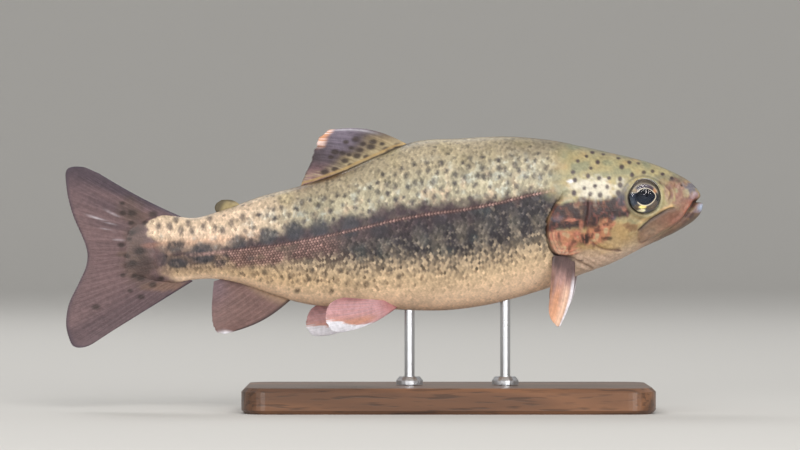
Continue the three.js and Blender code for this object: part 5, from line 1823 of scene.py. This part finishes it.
def make_studio():
    """A round pale floor that curves up into a wall all round, far behind the model."""
    turn = np.linspace(0, math.pi / 2, 24)
    bend = WALL_RADIUS - FLOOR_RADIUS
    profile = [(0.0, 0.0), (0.3, 0.0), (1.2, 0.0)]
    profile += [(FLOOR_RADIUS + bend * math.sin(a), bend * (1 - math.cos(a))) for a in turn]
    profile.append((WALL_RADIUS, WALL_HEIGHT))
    around = np.arange(WALL_SIDES) * 2 * math.pi / WALL_SIDES
    rings = [[(r * math.cos(a), r * math.sin(a), h) for a in around] for r, h in profile[1:]]
    points = [p for ring in rings for p in ring] + [(0.0, 0.0, 0.0)]
    faces = grid_quads(len(rings), WALL_SIDES, wrap=True)[:, ::-1].tolist()
    faces += [(len(points) - 1, i, (i + 1) % WALL_SIDES) for i in range(WALL_SIDES)]
    mesh = bpy.data.meshes.new("studio_floor")
    mesh.from_pydata(points, [], faces)
    mesh.polygons.foreach_set("use_smooth", [True] * len(mesh.polygons))
    floor = bpy.data.objects.new("studio_floor", mesh)
    bpy.context.scene.collection.objects.link(floor)
    material, nodes, _ = new_material("studio_paper")
    set_inputs(nodes["Principled BSDF"], {
        "Base Color": (*paint(202, 200, 196), 1), "Roughness": 0.85,
    })
    mesh.materials.append(material)


def add_softbox(name, location, size, power, warmth=(1, 1, 1)):
    """A round soft lamp that is aimed at the middle of the fish."""
    lamp = bpy.data.lights.new(name, "AREA")
    lamp.shape = "DISK"
    lamp.size = size
    lamp.energy = power
    lamp.color = warmth
    light = bpy.data.objects.new(name, lamp)
    light.location = location
    aim = Vector(FISH_MIDDLE) - Vector(location)
    light.rotation_euler = aim.to_track_quat("-Z", "Y").to_euler()
    bpy.context.scene.collection.objects.link(light)


def make_lights():
    add_softbox("key", (0.3, -1.5, 0.95), 1.1, 18, (1, 0.985, 0.96))
    add_softbox("fill_rear", (-0.8, -1.3, 0.3), 0.55, 7, (1, 0.99, 0.98))
    add_softbox("fill_front", (0.8, -1.3, 0.3), 0.55, 7, (1, 0.99, 0.98))
    add_softbox("back", (-0.4, 1.0, 1.2), 0.8, 6)
    world = bpy.data.worlds.new("studio")
    world.use_nodes = True
    set_inputs(world.node_tree.nodes["Background"], {"Color": (1, 1, 1, 1), "Strength": 0.6})
    bpy.context.scene.world = world


def make_camera():
    """Level with the fish, its right flank square to the lens, from 1.4 m."""
    lens = bpy.data.cameras.new("camera")
    lens.lens = 200
    lens.sensor_width = 36
    lens.clip_start, lens.clip_end = 0.05, 30
    camera = bpy.data.objects.new("camera", lens)
    camera.location = CAMERA_PLACE
    camera.rotation_euler = (math.pi / 2, 0, 0)
    bpy.context.scene.collection.objects.link(camera)
    bpy.context.scene.camera = camera


# ---------------------------------------------------------------- the model

make_camera()
make_studio()
make_lights()
bpy.context.scene.view_settings.view_transform = "Standard"

mottle, grain = mottle_group(), grain_group()
skin_paint = flesh_material(
    "trout_skin", mottle, grain, size=1100.0, strength=0.14, bump=0.3, gloss=0.35,
)
scale_paint = flesh_material(
    "trout_scales", mottle, grain, size=1300.0, strength=0.12, bump=0.2, gloss=0.3,
)
fin_paint = fin_material(mottle, grain)
iris_paint, cornea_paint = iris_material(), cornea_material()

skin = make_skin(skin_paint)
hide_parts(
    "head", "lower_jaw", "upper_jaw_right", "upper_jaw_left", "gill_cover_right",
    "gill_cover_left", "trunk", "tail_stalk",
)

for side_name, side in (("right", -1), ("left", 1)):
    rng = np.random.default_rng(COAT_SEED + side)
    roots = scale_roots(rng)
    middle_x = float(np.median(roots[:, 0]))
    for part, chosen in (("front", roots[:, 0] > middle_x), ("rear", roots[:, 0] <= middle_x)):
        coat = make_coat(f"scales_{side_name}_{part}", side, roots[chosen], rng, scale_paint)
    iris = make_iris(f"iris_{side_name}", side, iris_paint)
    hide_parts(f"eye_{side_name}")
    cornea = make_cornea(f"cornea_{side_name}", side, cornea_paint)

for kind in ("dorsal", "adipose", "anal", "tail"):
    fin = make_fin(f"{kind}_rays", kind, fin_paint)
    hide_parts(f"{kind}_fin")

for name, fold in PAIRED.items():
    kind, side_name = name.split("_")
    fin = make_fin(f"{kind}_rays_{side_name}", kind, fin_paint, fold)
    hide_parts(f"{kind}_fin_{side_name}")

walnut, steel = walnut_material(), steel_material()
for node, material in (
    ("stand_base", walnut), ("stand_rod_rear", steel), ("stand_rod_front", steel),
    ("stand_collar_rear", steel), ("stand_collar_front", steel),
):
    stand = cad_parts[node]
    stand.data.materials.clear()
    stand.data.materials.append(material)
